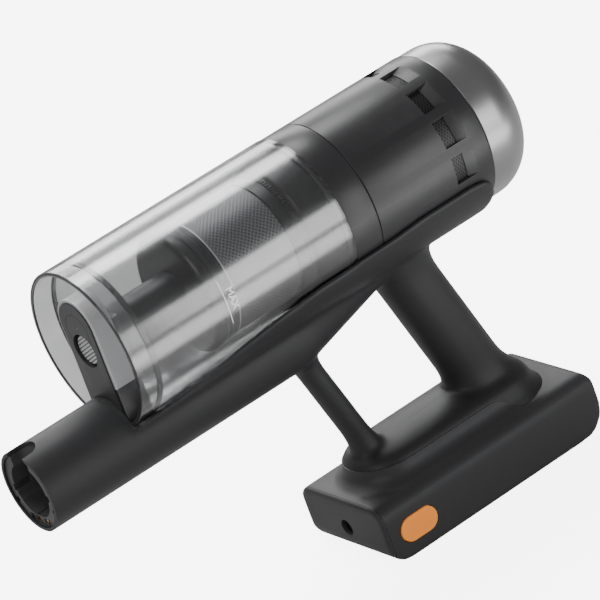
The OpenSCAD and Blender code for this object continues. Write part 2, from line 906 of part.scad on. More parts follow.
module battery_contacts() {
  color(copper) {
    translate([handle_x - 29, -10, battery_h - 3.9]) cube([34, 20, 1.6]);
    for (i = [0:4]) translate([handle_x - 25.1 + 6 * i, -5, battery_h - 2.4]) cube([1.4, 10, 9]);
  }
}

module battery_button(side) {
  color(pill_orange) {
    intersection() {
      translate([pill_x, side * (battery_w / 2 - pill_depth), pill_z]) rotate([-side * 90, 0, 0])
        linear_extrude(pill_depth) stadium(pill_len, pill_h / 2);
      battery_block(-0.1);
    }
    across(pill_x, pill_z, 2, side > 0 ? battery_w / 2 - pill_depth - 3 : -battery_w / 2 + pill_depth,
           side > 0 ? battery_w / 2 - pill_depth : -battery_w / 2 + pill_depth + 3);
  }
}

module battery_button_left() {
  battery_button(-1);
}

module battery_button_right() {
  battery_button(1);
}

module battery_spring(side) {
  color(steel) difference() {
    across(pill_x, pill_z, 3.4, side > 0 ? holder_y + 3 : -battery_w / 2 + pill_depth,
           side > 0 ? battery_w / 2 - pill_depth : -holder_y - 3);
    across(pill_x, pill_z, 2.6, -battery_w, battery_w);
  }
}

module battery_spring_left() {
  battery_spring(-1);
}

module battery_spring_right() {
  battery_spring(1);
}

frame_left();
frame_right();
frame_screws();
nozzle_collar();
contact_block();
contact_pins();
intake_duct();
duct_seal();
power_leads();
terminal_block();
motor_housing();
intake_bulkhead();
cup_gasket();
vent_cone();
motor_mount_front();
motor_mount_rear();
motor_can();
stator();
motor_bearings();
diffuser();
control_board();
control_pod();
display_lens();
rotor_shaft();
rotor_magnet();
impeller();
power_button();
mode_button();
rear_cap();
post_filter();
cap_seal();
cup_shell();
front_panel();
inlet_riser();
inlet_pipe();
cyclone_shoulder();
mesh_screen();
cyclone_cone();
cup_rear_ring();
pre_filter();
release_button();
release_spring();
latch_lever();
latch_pin();
battery_case();
battery_front();
battery_cells();
cell_holder();
cell_straps();
battery_board();
charge_socket();
charge_lights();
battery_contacts();
battery_button_left();
battery_button_right();
battery_spring_left();
battery_spring_right();
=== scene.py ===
import json
from math import cos, pi, radians, sin, tan

import bmesh
import bpy
from mathutils import Matrix, Vector


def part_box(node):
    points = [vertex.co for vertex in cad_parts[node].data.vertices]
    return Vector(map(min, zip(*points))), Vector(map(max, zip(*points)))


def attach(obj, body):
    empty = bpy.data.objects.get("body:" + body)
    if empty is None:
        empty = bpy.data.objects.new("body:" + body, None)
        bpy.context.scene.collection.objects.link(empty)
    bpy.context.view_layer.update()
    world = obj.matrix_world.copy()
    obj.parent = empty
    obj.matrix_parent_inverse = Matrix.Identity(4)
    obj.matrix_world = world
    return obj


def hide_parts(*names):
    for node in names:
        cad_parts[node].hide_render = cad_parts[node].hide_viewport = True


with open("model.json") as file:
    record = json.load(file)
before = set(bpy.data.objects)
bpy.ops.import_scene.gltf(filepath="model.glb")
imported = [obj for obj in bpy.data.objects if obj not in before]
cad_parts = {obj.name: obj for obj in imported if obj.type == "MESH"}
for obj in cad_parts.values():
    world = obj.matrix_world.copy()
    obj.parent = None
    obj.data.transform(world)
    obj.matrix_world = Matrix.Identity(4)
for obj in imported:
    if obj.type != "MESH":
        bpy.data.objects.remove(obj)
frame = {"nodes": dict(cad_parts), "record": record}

mm = 0.001
scene = bpy.context.scene
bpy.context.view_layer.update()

# Stations along the tube, read from the frame
cupLow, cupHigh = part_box("cup_shell")
rimX = cupLow.x
clearEndX = cupHigh.x
cupR = (cupHigh.y - cupLow.y) / 2
axisZ = cupHigh.z - cupR
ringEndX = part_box("cup_rear_ring")[1].x
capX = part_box("rear_cap")[0].x
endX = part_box("rear_cap")[1].x
housingR = (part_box("motor_housing")[1].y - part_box("motor_housing")[0].y) / 2
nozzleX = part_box("frame_left")[0].x
ductLow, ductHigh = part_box("intake_duct")
tubeZ = (ductLow.z + ductHigh.z) / 2
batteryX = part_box("battery_front")[0].x
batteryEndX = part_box("battery_case")[1].x
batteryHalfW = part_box("battery_case")[1].y


# Small modelling helpers

def linked(name, mesh):
    thing = bpy.data.objects.new(name, mesh)
    scene.collection.objects.link(thing)
    return thing


def toPiece(name, bm, smoothAngle=35):
    bmesh.ops.remove_doubles(bm, verts=bm.verts, dist=0.002 * mm)
    bmesh.ops.recalc_face_normals(bm, faces=bm.faces)
    mesh = bpy.data.meshes.new(name)
    bm.to_mesh(mesh)
    bm.free()
    mesh.shade_smooth()
    mesh.set_sharp_from_angle(angle=radians(smoothAngle))
    return linked(name, mesh)


def bake(piece, smoothAngle=35):
    depsgraph = bpy.context.evaluated_depsgraph_get()
    mesh = bpy.data.meshes.new_from_object(piece.evaluated_get(depsgraph))
    piece.modifiers.clear()
    piece.data = mesh
    mesh.shade_smooth()
    mesh.set_sharp_from_angle(angle=radians(smoothAngle))
    return piece


def cutWith(piece, cutters, operation="DIFFERENCE", smoothAngle=35):
    for cutter in cutters:
        cut = piece.modifiers.new("cut", "BOOLEAN")
        cut.operation = operation
        cut.solver = "EXACT"
        cut.object = cutter
    bake(piece, smoothAngle)
    for cutter in cutters:
        bpy.data.objects.remove(cutter)
    return piece


def rodX(bm, x1, x2, radius, z=axisZ, y=0, segments=96):
    place = Matrix.Translation(((x1 + x2) / 2, y, z)) @ Matrix.Rotation(radians(90), 4, "Y")
    bmesh.ops.create_cone(bm, cap_ends=True, segments=segments, radius1=radius, radius2=radius, depth=x2 - x1,
                          matrix=place)


def rodCutter(x1, x2, radius, z=axisZ, y=0, segments=128):
    bm = bmesh.new()
    rodX(bm, x1, x2, radius, z, y, segments=segments)
    return toPiece("cutter", bm)


def block(bm, low, high, bevel=0, segments=2):
    low, high = Vector(low), Vector(high)
    size = high - low
    place = Matrix.Translation((low + high) / 2) @ Matrix.Diagonal((*size, 1))
    verts = bmesh.ops.create_cube(bm, size=1, matrix=place)["verts"]
    if bevel:
        edges = list({edge for vert in verts for edge in vert.link_edges})
        bmesh.ops.bevel(bm, geom=edges, offset=bevel, affect="EDGES", segments=segments, profile=0.5,
                        material=-1)


def blockCutter(low, high, bevel=0, segments=2):
    bm = bmesh.new()
    block(bm, low, high, bevel, segments)
    return toPiece("cutter", bm)


# A closed outline in the x-z plane whose corners are (x, z) or (x, z, rounding)
def outlineFace(bm, corners, y=0, segments=6):
    verts = [bm.verts.new((corner[0], y, corner[1])) for corner in corners]
    bm.faces.new(verts)
    for vert, corner in zip(verts, corners):
        if len(corner) > 2:
            bmesh.ops.bevel(bm, geom=[vert], offset=corner[2], affect="VERTICES", segments=segments,
                            profile=0.5, material=-1)


# Turns an outline of (distance along x, radius, rounding) once round the axis
def spunShape(corners, z=axisZ, y=0, steps=128, segments=6):
    bm = bmesh.new()
    outlineFace(bm, corners, 0, segments)
    bmesh.ops.delete(bm, geom=bm.faces[:], context="FACES_ONLY")
    bmesh.ops.spin(bm, geom=bm.verts[:] + bm.edges[:], cent=(0, 0, 0), axis=(1, 0, 0), angle=2 * pi,
                   steps=steps, use_merge=True)
    bmesh.ops.translate(bm, vec=(0, y, z), verts=bm.verts)
    return bm


def addShape(bm, other):
    mesh = bpy.data.meshes.new("part")
    other.to_mesh(mesh)
    other.free()
    bm.from_mesh(mesh)
    bpy.data.meshes.remove(mesh)


# A side view outline pushed out to both sides
def sidePrism(corners, halfWidth, segments=6):
    bm = bmesh.new()
    outlineFace(bm, corners, -halfWidth, segments)
    pushed = bmesh.ops.extrude_face_region(bm, geom=bm.faces[:])["geom"]
    moved = [item for item in pushed if isinstance(item, bmesh.types.BMVert)]
    bmesh.ops.translate(bm, vec=(0, 2 * halfWidth, 0), verts=moved)
    bmesh.ops.recalc_face_normals(bm, faces=bm.faces)
    return bm


# An end view outline, corners (y, z, rounding), pushed along x
def endPrism(corners, x1, x2, segments=8):
    bm = sidePrism(corners, (x2 - x1) / 2, segments)
    bmesh.ops.rotate(bm, verts=bm.verts, cent=(0, 0, 0), matrix=Matrix.Rotation(radians(90), 3, "Z"))
    bmesh.ops.translate(bm, verts=bm.verts, vec=((x1 + x2) / 2, 0, 0))
    return bm


# Stacked sections joined into one skin; every section is (centre, half length, half width)
def loftStadium(bm, sections, segments=48):
    rings = []
    for centre, halfLength, halfWidth in sections:
        straight = max(halfLength - halfWidth, 0)
        made = bmesh.ops.create_circle(bm, segments=segments, radius=halfWidth,
                                       matrix=Matrix.Translation(centre))["verts"]
        for vert in made:
            side = vert.co.x - centre[0]
            vert.co.x += straight * (1 if side > 1e-7 else -1 if side < -1e-7 else 0)
        rings.append(made)
    for lower, upper in zip(rings, rings[1:]):
        edges = [edge for vert in lower for edge in vert.link_edges if edge.other_vert(vert) in lower]
        edges += [edge for vert in upper for edge in vert.link_edges if edge.other_vert(vert) in upper]
        bmesh.ops.bridge_loops(bm, edges=list(set(edges)))
    bm.faces.new(rings[0])
    bm.faces.new(rings[-1])


def remeshed(name, bm, voxel, rounds, factor=0.5):
    bmesh.ops.recalc_face_normals(bm, faces=bm.faces)
    piece = toPiece(name, bm)
    remesh = piece.modifiers.new("remesh", "REMESH")
    remesh.mode = "VOXEL"
    remesh.voxel_size = voxel
    bake(piece)
    soft = bmesh.new()
    soft.from_mesh(piece.data)
    for turn in range(rounds):
        bmesh.ops.smooth_vert(soft, verts=soft.verts, factor=factor, use_axis_x=True, use_axis_y=True,
                              use_axis_z=True)
    soft.to_mesh(piece.data)
    soft.free()
    return piece


def finishPiece(piece, body, material, replaced=(), bevel=0, bevelSegments=2):
    piece.data.materials.clear()
    piece.data.materials.append(material)
    if bevel:
        rounded = piece.modifiers.new("soft edges", "BEVEL")
        rounded.width = bevel
        rounded.segments = bevelSegments
        rounded.limit_method = "ANGLE"
        rounded.angle_limit = radians(35)
        rounded.harden_normals = True
    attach(piece, body)
    if replaced:
        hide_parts(*replaced)
    return piece


# Camera, floor and lights

cameraSetup = {"azimuth": -28.01, "elevation": 23.43, "roll": -20.45, "lens": 274.02,
               "distance": 2622.66 * mm, "aim": (rimX + 138.37 * mm, 0, axisZ - 44.45 * mm)}


def makeCamera(setup):
    around, rise, roll = (radians(setup[key]) for key in ("azimuth", "elevation", "roll"))
    back = Vector((sin(around) * cos(rise), -cos(around) * cos(rise), sin(rise)))
    right = Vector((cos(around), sin(around), 0))
    up = back.cross(right)
    tilted = cos(roll) * right + sin(roll) * up
    data = bpy.data.cameras.new("camera")
    data.lens = setup["lens"]
    data.sensor_width = 36
    data.clip_end = 50
    camera = bpy.data.objects.new("camera", data)
    turn = Matrix((tilted, back.cross(tilted), back)).transposed()
    camera.matrix_world = Matrix.Translation(Vector(setup["aim"]) + back * setup["distance"]) @ turn.to_4x4()
    scene.collection.objects.link(camera)
    scene.camera = camera


makeCamera(cameraSetup)

studio = {"worldStrength": 0.13, "seenColour": (0.93, 0.93, 0.93), "lightColour": (0.42, 0.42, 0.42),
          "floorGlow": 0.2, "seenGlow": 6.0}
lights = {
    # name: (place, aim, size, power)
    "overhead": ((0.0, 0.55, 1.4), (0, 0, 0.15), (1.4, 0.5), 20),
    "farPanel": ((0.6, 1.35, 0.8), (0, 0, 0.15), (1.5, 0.5), 15),
    "key": ((-1.5, -0.7, 1.2), (0, 0, 0.15), (0.6, 0.6), 7),
    "sideFill": ((0.8, -1.6, 0.35), (0.05, 0, 0.1), (0.9, 0.8), 9),
    "lowCard": ((0.33, -0.57, 0.012), (0.33, -0.57, 1), (0.7, 0.5), 4.2),
}


def makeStudio():
    world = bpy.data.worlds.new("studio")
    world.use_nodes = True
    world.node_tree.nodes["Background"].inputs["Color"].default_value = (1, 1, 1, 1)
    world.node_tree.nodes["Background"].inputs["Strength"].default_value = studio["worldStrength"]
    scene.world = world
    for name, (place, aim, size, power) in lights.items():
        data = bpy.data.lights.new(name, "AREA")
        data.shape = "RECTANGLE"
        data.size, data.size_y = size
        data.energy = power
        lamp = bpy.data.objects.new(name, data)
        lamp.location = place
        lamp.rotation_euler = (Vector(aim) - Vector(place)).to_track_quat("-Z", "Y").to_euler()
        scene.collection.objects.link(lamp)
    bm = bmesh.new()
    bmesh.ops.create_grid(bm, x_segments=1, y_segments=1, size=12)
    floor = toPiece("floor", bm)
    paper = bpy.data.materials.new("paper")
    paper.use_nodes = True
    surface = paper.node_tree.nodes["Principled BSDF"]
    surface.inputs["Roughness"].default_value = 0.9
    surface.inputs["Emission Color"].default_value = (1, 1, 1, 1)
    glow = paper.node_tree.nodes.new("ShaderNodeMapRange")
    glow.inputs["To Min"].default_value = studio["floorGlow"]
    glow.inputs["To Max"].default_value = studio["seenGlow"]
    seen = paper.node_tree.nodes.new("ShaderNodeLightPath").outputs["Is Camera Ray"]
    paper.node_tree.links.new(seen, glow.inputs["Value"])
    shade = paper.node_tree.nodes.new("ShaderNodeMix")
    shade.data_type = "RGBA"
    shade.inputs[6].default_value = (*studio["lightColour"], 1)
    shade.inputs[7].default_value = (*studio["seenColour"], 1)
    paper.node_tree.links.new(seen, shade.inputs["Factor"])
    paper.node_tree.links.new(shade.outputs[2], surface.inputs["Base Color"])
    paper.node_tree.links.new(glow.outputs["Result"], surface.inputs["Emission Strength"])
    floor.data.materials.append(paper)


makeStudio()
print("camera, floor and lights are in place")


# Shared surface effects

def newGroup(name, inputs, outputs):
    group = bpy.data.node_groups.new(name, "ShaderNodeTree")
    for label, value in inputs.items():
        socket = group.interface.new_socket(name=label, in_out="INPUT", socket_type="NodeSocketFloat")
        socket.default_value = value
    for label in outputs:
        group.interface.new_socket(name=label, in_out="OUTPUT", socket_type="NodeSocketFloat")
    start = group.nodes.new("NodeGroupInput")
    finish = group.nodes.new("NodeGroupOutput")
    return group, group.nodes, group.links, start, finish


def mathNode(nodes, links, operation, *values):
    node = nodes.new("ShaderNodeMath")
    node.operation = operation
    for index, value in enumerate(values):
        if isinstance(value, (int, float)):
            node.inputs[index].default_value = value
        else:
            links.new(value, node.inputs[index])
    return node.outputs[0]


# Moulded grain: a fine height field, and slow patches that vary tone and gloss
def makeGrainGroup():
    group, nodes, links, start, finish = newGroup("mouldedGrain", {"Scale": 900.0, "Patch Scale": 14.0},
                                                  ("Height", "Patches"))
    place = nodes.new("ShaderNodeTexCoord").outputs["Object"]
    for output, detail, label in (("Height", 2.0, "Scale"), ("Patches", 4.0, "Patch Scale")):
        noise = nodes.new("ShaderNodeTexNoise")
        noise.inputs["Detail"].default_value = detail
        links.new(place, noise.inputs["Vector"])
        links.new(start.outputs[label], noise.inputs["Scale"])
        links.new(noise.outputs["Fac"], finish.inputs[output])
    return group


# Edges rubbed paler by handling, broken up by noise
def makeWearGroup():
    group, nodes, links, start, finish = newGroup("edgeWear", {"Amount": 0.5, "Scale": 120.0}, ("Mask",))
    bent = nodes.new("ShaderNodeNewGeometry").outputs["Pointiness"]
    edge = nodes.new("ShaderNodeMapRange")
    edge.inputs["From Min"].default_value = 0.52
    edge.inputs["From Max"].default_value = 0.62
    links.new(bent, edge.inputs["Value"])
    noise = nodes.new("ShaderNodeTexNoise")
    links.new(nodes.new("ShaderNodeTexCoord").outputs["Object"], noise.inputs["Vector"])
    links.new(start.outputs["Scale"], noise.inputs["Scale"])
    broken = mathNode(nodes, links, "MULTIPLY", edge.outputs["Result"], noise.outputs["Fac"])
    links.new(mathNode(nodes, links, "MULTIPLY", broken, start.outputs["Amount"]), finish.inputs["Mask"])
    return group


# Regular round dots on the x-z plane, as on a grip pad
def makeDotGroup():
    group, nodes, links, start, finish = newGroup("gripDots", {"Pitch": 1.0, "Size": 0.3}, ("Dots",))
    split = nodes.new("ShaderNodeSeparateXYZ")
    links.new(nodes.new("ShaderNodeTexCoord").outputs["Object"], split.inputs[0])
    distance = []
    for axis in ("X", "Z"):
        cell = mathNode(nodes, links, "DIVIDE", split.outputs[axis], start.outputs["Pitch"])
        inCell = mathNode(nodes, links, "SUBTRACT", mathNode(nodes, links, "FRACT", cell), 0.5)
        distance.append(mathNode(nodes, links, "MULTIPLY", inCell, inCell))
    away = mathNode(nodes, links, "SQRT", mathNode(nodes, links, "ADD", *distance))
    links.new(mathNode(nodes, links, "LESS_THAN", away, start.outputs["Size"]), finish.inputs["Dots"])
    return group


grainGroup, wearGroup, dotGroup = makeGrainGroup(), makeWearGroup(), makeDotGroup()


def newMaterial(name):
    material = bpy.data.materials.new(name)
    material.use_nodes = True
    tree = material.node_tree
    return material, tree.nodes, tree.links, tree.nodes["Principled BSDF"]


def groupNode(nodes, group, **values):
    node = nodes.new("ShaderNodeGroup")
    node.node_tree = group
    for label, value in values.items():
        node.inputs[label.replace("_", " ")].default_value = value
    return node


def mixColour(nodes, links, factor, first, second):
    mix = nodes.new("ShaderNodeMix")
    mix.data_type = "RGBA"
    links.new(factor, mix.inputs["Factor"])
    for slot, value in ((6, first), (7, second)):
        if isinstance(value, tuple):
            mix.inputs[slot].default_value = (*value, 1)
        else:
            links.new(value, mix.inputs[slot])
    return mix.outputs[2]


def mapValue(nodes, links, value, low, high):
    span = nodes.new("ShaderNodeMapRange")
    span.inputs["From Min"].default_value = 0.3
    span.inputs["From Max"].default_value = 0.7
    span.inputs["To Min"].default_value = low
    span.inputs["To Max"].default_value = high
    links.new(value, span.inputs["Value"])
    return span.outputs["Result"]


# Moulded, painted or coated surface; every solid finish of the vacuum starts here
def mouldedFinish(name, colour, roughness, grain=900, bump=0.12, depth=0.02, wear=0.4, metallic=0.0,
                  coat=0.0, patch=0.12, specular=0.5):
    material, nodes, links, surface = newMaterial(name)
    texture = groupNode(nodes, grainGroup, Scale=grain, Patch_Scale=16.0)
    worn = groupNode(nodes, wearGroup, Amount=wear)
    paler = tuple(min(channel * 1.9 + 0.03, 1) for channel in colour)
    deeper = tuple(channel * (1 - patch) for channel in colour)
    toned = mixColour(nodes, links, texture.outputs["Patches"], deeper, colour)
    links.new(mixColour(nodes, links, worn.outputs["Mask"], toned, paler), surface.inputs["Base Color"])
    links.new(mapValue(nodes, links, texture.outputs["Patches"], roughness - 0.04, roughness + 0.05),
              surface.inputs["Roughness"])
    surface.inputs["Metallic"].default_value = metallic
    surface.inputs["Coat Weight"].default_value = coat
    surface.inputs["Coat Roughness"].default_value = 0.25
    surface.inputs["Specular IOR Level"].default_value = specular
    relief = nodes.new("ShaderNodeBump")
    relief.inputs["Strength"].default_value = bump
    relief.inputs["Distance"].default_value = depth * mm
    links.new(texture.outputs["Height"], relief.inputs["Height"])
    links.new(relief.outputs["Normal"], surface.inputs["Normal"])
    return material


def gripDotGlowFinish(name, colour, pale, centre, reach):
    material = mouldedFinish(name, colour, 0.42, wear=0.2)
    nodes, links = material.node_tree.nodes, material.node_tree.links
    surface = nodes["Principled BSDF"]
    # The orange also glows a little: painted light that keeps the keys bright orange under the dim lamps
    surface.inputs["Emission Color"].default_value = (*colour, 1)
    surface.inputs["Emission Strength"].default_value = 0.45
    dots = groupNode(nodes, dotGroup, Pitch=1.15 * mm, Size=0.26)
    split = nodes.new("ShaderNodeSeparateXYZ")
    links.new(nodes.new("ShaderNodeTexCoord").outputs["Object"], split.inputs[0])
    within = []
    for axis, middle, span in zip("XZ", centre, reach):
        offset = mathNode(nodes, links, "SUBTRACT", split.outputs[axis], middle)
        away = mathNode(nodes, links, "ABSOLUTE", offset)
        within.append(mathNode(nodes, links, "LESS_THAN", away, span))
    inside = mathNode(nodes, links, "MULTIPLY", *within)
    mask = mathNode(nodes, links, "MULTIPLY", dots.outputs["Dots"], inside)
    base = surface.inputs["Base Color"].links[0].from_socket
    links.new(mixColour(nodes, links, mask, base, pale), surface.inputs["Base Color"])
    relief = surface.inputs["Normal"].links[0].from_node
    dotted = nodes.new("ShaderNodeBump")
    dotted.inputs["Strength"].default_value = 0.5
    dotted.inputs["Distance"].default_value = 0.15 * mm
    links.new(mask, dotted.inputs["Height"])
    links.new(relief.outputs["Normal"], dotted.inputs["Normal"])
    links.new(dotted.outputs["Normal"], surface.inputs["Normal"])
    return material


# Woven steel cloth wrapped round the axis: two sets of crossing wires
def wovenFinish(name, colour, gap, turns, pitch):
    material, nodes, links, surface = newMaterial(name)
    split = nodes.new("ShaderNodeSeparateXYZ")
    links.new(nodes.new("ShaderNodeTexCoord").outputs["Object"], split.inputs[0])
    height = mathNode(nodes, links, "SUBTRACT", split.outputs["Z"], axisZ)
    angle = mathNode(nodes, links, "ARCTAN2", split.outputs["Y"], height)
    around = mathNode(nodes, links, "MULTIPLY", angle, turns)
    along = mathNode(nodes, links, "MULTIPLY", split.outputs["X"], 2 * pi / pitch)
    wires = []
    for operation in ("ADD", "SUBTRACT"):
        wave = mathNode(nodes, links, "SINE", mathNode(nodes, links, operation, around, along))
        wires.append(mathNode(nodes, links, "MULTIPLY_ADD", wave, 0.5, 0.5))
    cloth = mathNode(nodes, links, "MAXIMUM", *wires)
    links.new(mixColour(nodes, links, cloth, gap, colour), surface.inputs["Base Color"])
    surface.inputs["Metallic"].default_value = 0.7
    surface.inputs["Roughness"].default_value = 0.42
    relief = nodes.new("ShaderNodeBump")
    relief.inputs["Strength"].default_value = 0.5
    relief.inputs["Distance"].default_value = 0.1 * mm
    links.new(cloth, relief.inputs["Height"])
    links.new(relief.outputs["Normal"], surface.inputs["Normal"])
    return material


# Clear plastic; shadow rays pass so that light reaches what is inside
def clearFinish(name, tint, roughness, shade):
    material, nodes, links, surface = newMaterial(name)
    texture = groupNode(nodes, grainGroup, Scale=60.0, Patch_Scale=9.0)
    surface.inputs["Base Color"].default_value = (*tint, 1)
    surface.inputs["Transmission Weight"].default_value = 1
    surface.inputs["IOR"].default_value = 1.03
    surface.inputs["Coat Weight"].default_value = 1
    surface.inputs["Coat IOR"].default_value = 1.9
    surface.inputs["Coat Roughness"].default_value = 0.17
    links.new(mapValue(nodes, links, texture.outputs["Patches"], roughness * 0.7, roughness * 1.4),
              surface.inputs["Roughness"])
    passing = nodes.new("ShaderNodeBsdfTransparent")
    passing.inputs["Color"].default_value = (*shade, 1)
    chosen = nodes.new("ShaderNodeMixShader")
    links.new(nodes.new("ShaderNodeLightPath").outputs["Is Shadow Ray"], chosen.inputs[0])
    links.new(surface.outputs[0], chosen.inputs[1])
    links.new(passing.outputs[0], chosen.inputs[2])
    links.new(chosen.outputs[0], nodes["Material Output"].inputs["Surface"])
    return material


# One colour in front of a station, another below a height, and a third elsewhere; on the cup wall the paler
# front band is a painted highlight, and on the release button the dark colour round the silver ridge fronts is
# painted shade
def bandFinish(name, colour, rim, low, rimEnd, lowZ):
    material = mouldedFinish(name, colour, 0.34, wear=0.0)
    nodes, links = material.node_tree.nodes, material.node_tree.links
    surface = nodes["Principled BSDF"]
    split = nodes.new("ShaderNodeSeparateXYZ")
    links.new(nodes.new("ShaderNodeTexCoord").outputs["Object"], split.inputs[0])
    front = mathNode(nodes, links, "LESS_THAN", split.outputs["X"], rimEnd)
    under = mathNode(nodes, links, "LESS_THAN", split.outputs["Z"], lowZ)
    upper = mixColour(nodes, links, front, surface.inputs["Base Color"].links[0].from_socket, rim)
    links.new(mixColour(nodes, links, under, upper, low), surface.inputs["Base Color"])
    return material


# Colour with emission on top: a real glow for the status light guides, painted light on the printed level mark
def glowFinish(name, colour, strength):
    material = mouldedFinish(name, colour, 0.3, wear=0.0)
    surface = material.node_tree.nodes["Principled BSDF"]
    surface.inputs["Emission Color"].default_value = (*colour, 1)
    surface.inputs["Emission Strength"].default_value = strength
    return material


pillX = (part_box("battery_button_left")[0].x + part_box("battery_button_left")[1].x) / 2
pillZ = (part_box("battery_button_left")[0].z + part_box("battery_button_left")[1].z) / 2

shellGrey = mouldedFinish("shellGrey", (0.03, 0.03, 0.032), 0.5, specular=0.35)
housingGrey = mouldedFinish("housingGrey", (0.03, 0.03, 0.032), 0.36, grain=1100)
trimGrey = mouldedFinish("trimGrey", (0.014, 0.014, 0.015), 0.36)
panelGrey = mouldedFinish("panelGrey", (0.05, 0.05, 0.053), 0.45)
batteryGrey = mouldedFinish("batteryGrey", (0.05, 0.05, 0.053), 0.5, specular=0.35)
collarGrey = mouldedFinish("collarGrey", (0.07, 0.07, 0.072), 0.5)
gloomGrey = mouldedFinish("gloomGrey", (0.014, 0.014, 0.015), 0.34)
capSatin = mouldedFinish("capSatin", (0.36, 0.36, 0.365), 0.3, grain=1500, metallic=0.85, coat=0.2, wear=0.2)
buttonSilver = mouldedFinish("buttonSilver", (0.5, 0.5, 0.51), 0.36, metallic=0.25)
pillOrange = gripDotGlowFinish("pillOrange", (1.0, 0.3, 0.035), (0.7, 0.17, 0.02), (pillX, pillZ),
                           (8.6 * mm, 4.6 * mm))
rubberBlack = mouldedFinish("rubberBlack", (0.015, 0.015, 0.015), 0.75, grain=400, bump=0.3)
plasticBlack = mouldedFinish("plasticBlack", (0.012, 0.012, 0.013), 0.5)
copperPlate = mouldedFinish("copperPlate", (0.75, 0.42, 0.2), 0.3, metallic=1.0)
steelPlain = mouldedFinish("steelPlain", (0.55, 0.56, 0.57), 0.32, metallic=1.0, grain=500)
alloyTurned = mouldedFinish("alloyTurned", (0.72, 0.72, 0.74), 0.28, metallic=1.0, grain=700)
boardGreen = mouldedFinish("boardGreen", (0.02, 0.13, 0.05), 0.4, grain=300, patch=0.4)
lensBlack = mouldedFinish("lensBlack", (0.006, 0.006, 0.008), 0.12, bump=0.02, coat=1.0)
filterFleece = mouldedFinish("filterFleece", (0.75, 0.75, 0.71), 0.9, grain=250, bump=0.8, depth=0.3)
cellWrap = mouldedFinish("cellWrap", (0.03, 0.16, 0.3), 0.3)
lightGuide = glowFinish("lightGuide", (0.6, 0.62, 0.64), 0.05)
meshSteel = wovenFinish("meshSteel", (0.2, 0.2, 0.205), (0.02, 0.02, 0.02), 76, 2.7 * mm)
clearSmoke = clearFinish("clearSmoke", (0.8, 0.805, 0.81), 0.015, (0.82, 0.82, 0.83))
# The paler band along the wall's front edge is a painted highlight
wallSmoke = bandFinish("wallSmoke", (0.4, 0.4, 0.405), (0.55, 0.55, 0.56), (0.03, 0.03, 0.031),
                       rimX + 1.6 * mm, 182.6 * mm)
# The release button is silver; all but the ridge fronts is painted dark grey, a painted shade round and between
# the ridges
ridgeSilver = bandFinish("ridgeSilver", (0.1, 0.1, 0.102), (0.6, 0.6, 0.61), (0.1, 0.1, 0.102),
                         rimX + 1.85 * mm, axisZ - 20 * mm)
edgeSmoke = mouldedFinish("edgeSmoke", (0.05, 0.05, 0.051), 0.25, coat=0.6, wear=0.0)
# White print on the cup; its glow is painted light, not a lamp
markWhiteGlow = glowFinish("markWhiteGlow", (0.85, 0.85, 0.85), 0.7)
ventWeave = wovenFinish("ventWeave", (0.05, 0.05, 0.052), (0.004, 0.004, 0.004), 90, 2.0 * mm)

finishOfSlot = {
    "shell_grey": shellGrey, "trim_grey": trimGrey, "cap_satin": capSatin, "clear_smoke": clearSmoke,
    "button_silver": buttonSilver, "pill_orange": pillOrange, "screen_mesh": meshSteel,
    "seal_rubber": rubberBlack, "black_plastic": plasticBlack, "contact_copper": copperPlate,
    "steel_part": steelPlain, "impeller_alloy": alloyTurned, "board_green": boardGreen,
    "lens_black": lensBlack, "filter_white": filterFleece, "cell_wrap": cellWrap, "light_guide": lightGuide,
}


# Every CAD node that stays takes the procedural finish of its material slot
def finishFrameNodes():
    for row in frame["record"]["subparts"]:
        node = frame["nodes"][row["node"]]
        finish = finishOfSlot[row["material_slot"]]
        if not node.material_slots:
            continue
        for place in node.material_slots:
            place.link = "OBJECT"
            place.material = finish


finishFrameNodes()
print("materials are ready")


# Frame: tube, cradle, keel, strut, handle and foot as two shells

frameShape = {
    "tubeR": 25.4 * mm, "keelR": 24.9 * mm, "keelTilt": 16, "keelLength": 78 * mm, "cradleR": 53.1 * mm,
    "saddleGap": 0.4 * mm, "lean": 16.7, "strutR": 8.5 * mm, "gripHalfDeep": 19.8 * mm,
    "gripHalfWide": 17 * mm,
    "strutX": rimX + 134.2 * mm, "gripX": rimX + 220.8 * mm, "gripZ": 97.6 * mm,
    "footHalfWide": 26 * mm, "footFront": rimX + 130.5 * mm, "footRear": rimX + 262 * mm, "seamZ": 49.2 * mm,
    "deckZ": 38.6 * mm, "voxel": 1.25 * mm, "softening": 26, "partGap": 0.05 * mm, "socketR": 17 * mm,
}

# Upper edge of the cradle arms: distance behind the rim and height over the cup axis, in mm
lipEdge = ((-3, -47), (0, -43.5), (40, -35.5), (80, -27.4), (106, -24), (130, -21.8), (190, -19.6),
           (204, -18.2), (244, -18.2), (254, -20), (260.5, -26), (263, -38), (263, -85), (-3, -85))


def leanAt(x, z):
    return x + (frameShape["gripZ"] - z) * tan(radians(frameShape["lean"]))


# Sections of a leaning limb between two heights, flared towards both ends
def limbSections(x, low, high, halfLength, halfWidth, flareLow, flareHigh, reach=16 * mm, count=22):
    sections = []
    for step in range(count + 1):
        z = low + (high - low) * step / count
        nearLow = max(0, 1 - (z - low) / reach) ** 2
        nearHigh = max(0, 1 - (high - z) / (reach * 1.5)) ** 2
        grown = flareLow * nearLow + flareHigh * nearHigh
        sections.append(((leanAt(x, z), 0, z), halfLength + grown, halfWidth + grown * 0.55))
    return sections


def footSections(shape):
    centre = (shape["footFront"] + shape["footRear"]) / 2
    half = (shape["footRear"] - shape["footFront"]) / 2
    rows = ((36, 8.5, 6.4), (38.6, 7.2, 5), (40.2, 5.2, 3.6), (42, 3.4, 2.4), (44, 2.2, 1.6), (46.5, 1.3, 1),
            (49, 0.5, 0.5), (51.4, -0.4, -0.4), (53.6, -3, -3), (55.2, -7, -7), (56.4, -12, -12),
            (57, -19, -19))
    return [((centre, 0, z * mm), half + along * mm, shape["footHalfWide"] + across * mm)
            for z, along, across in rows]


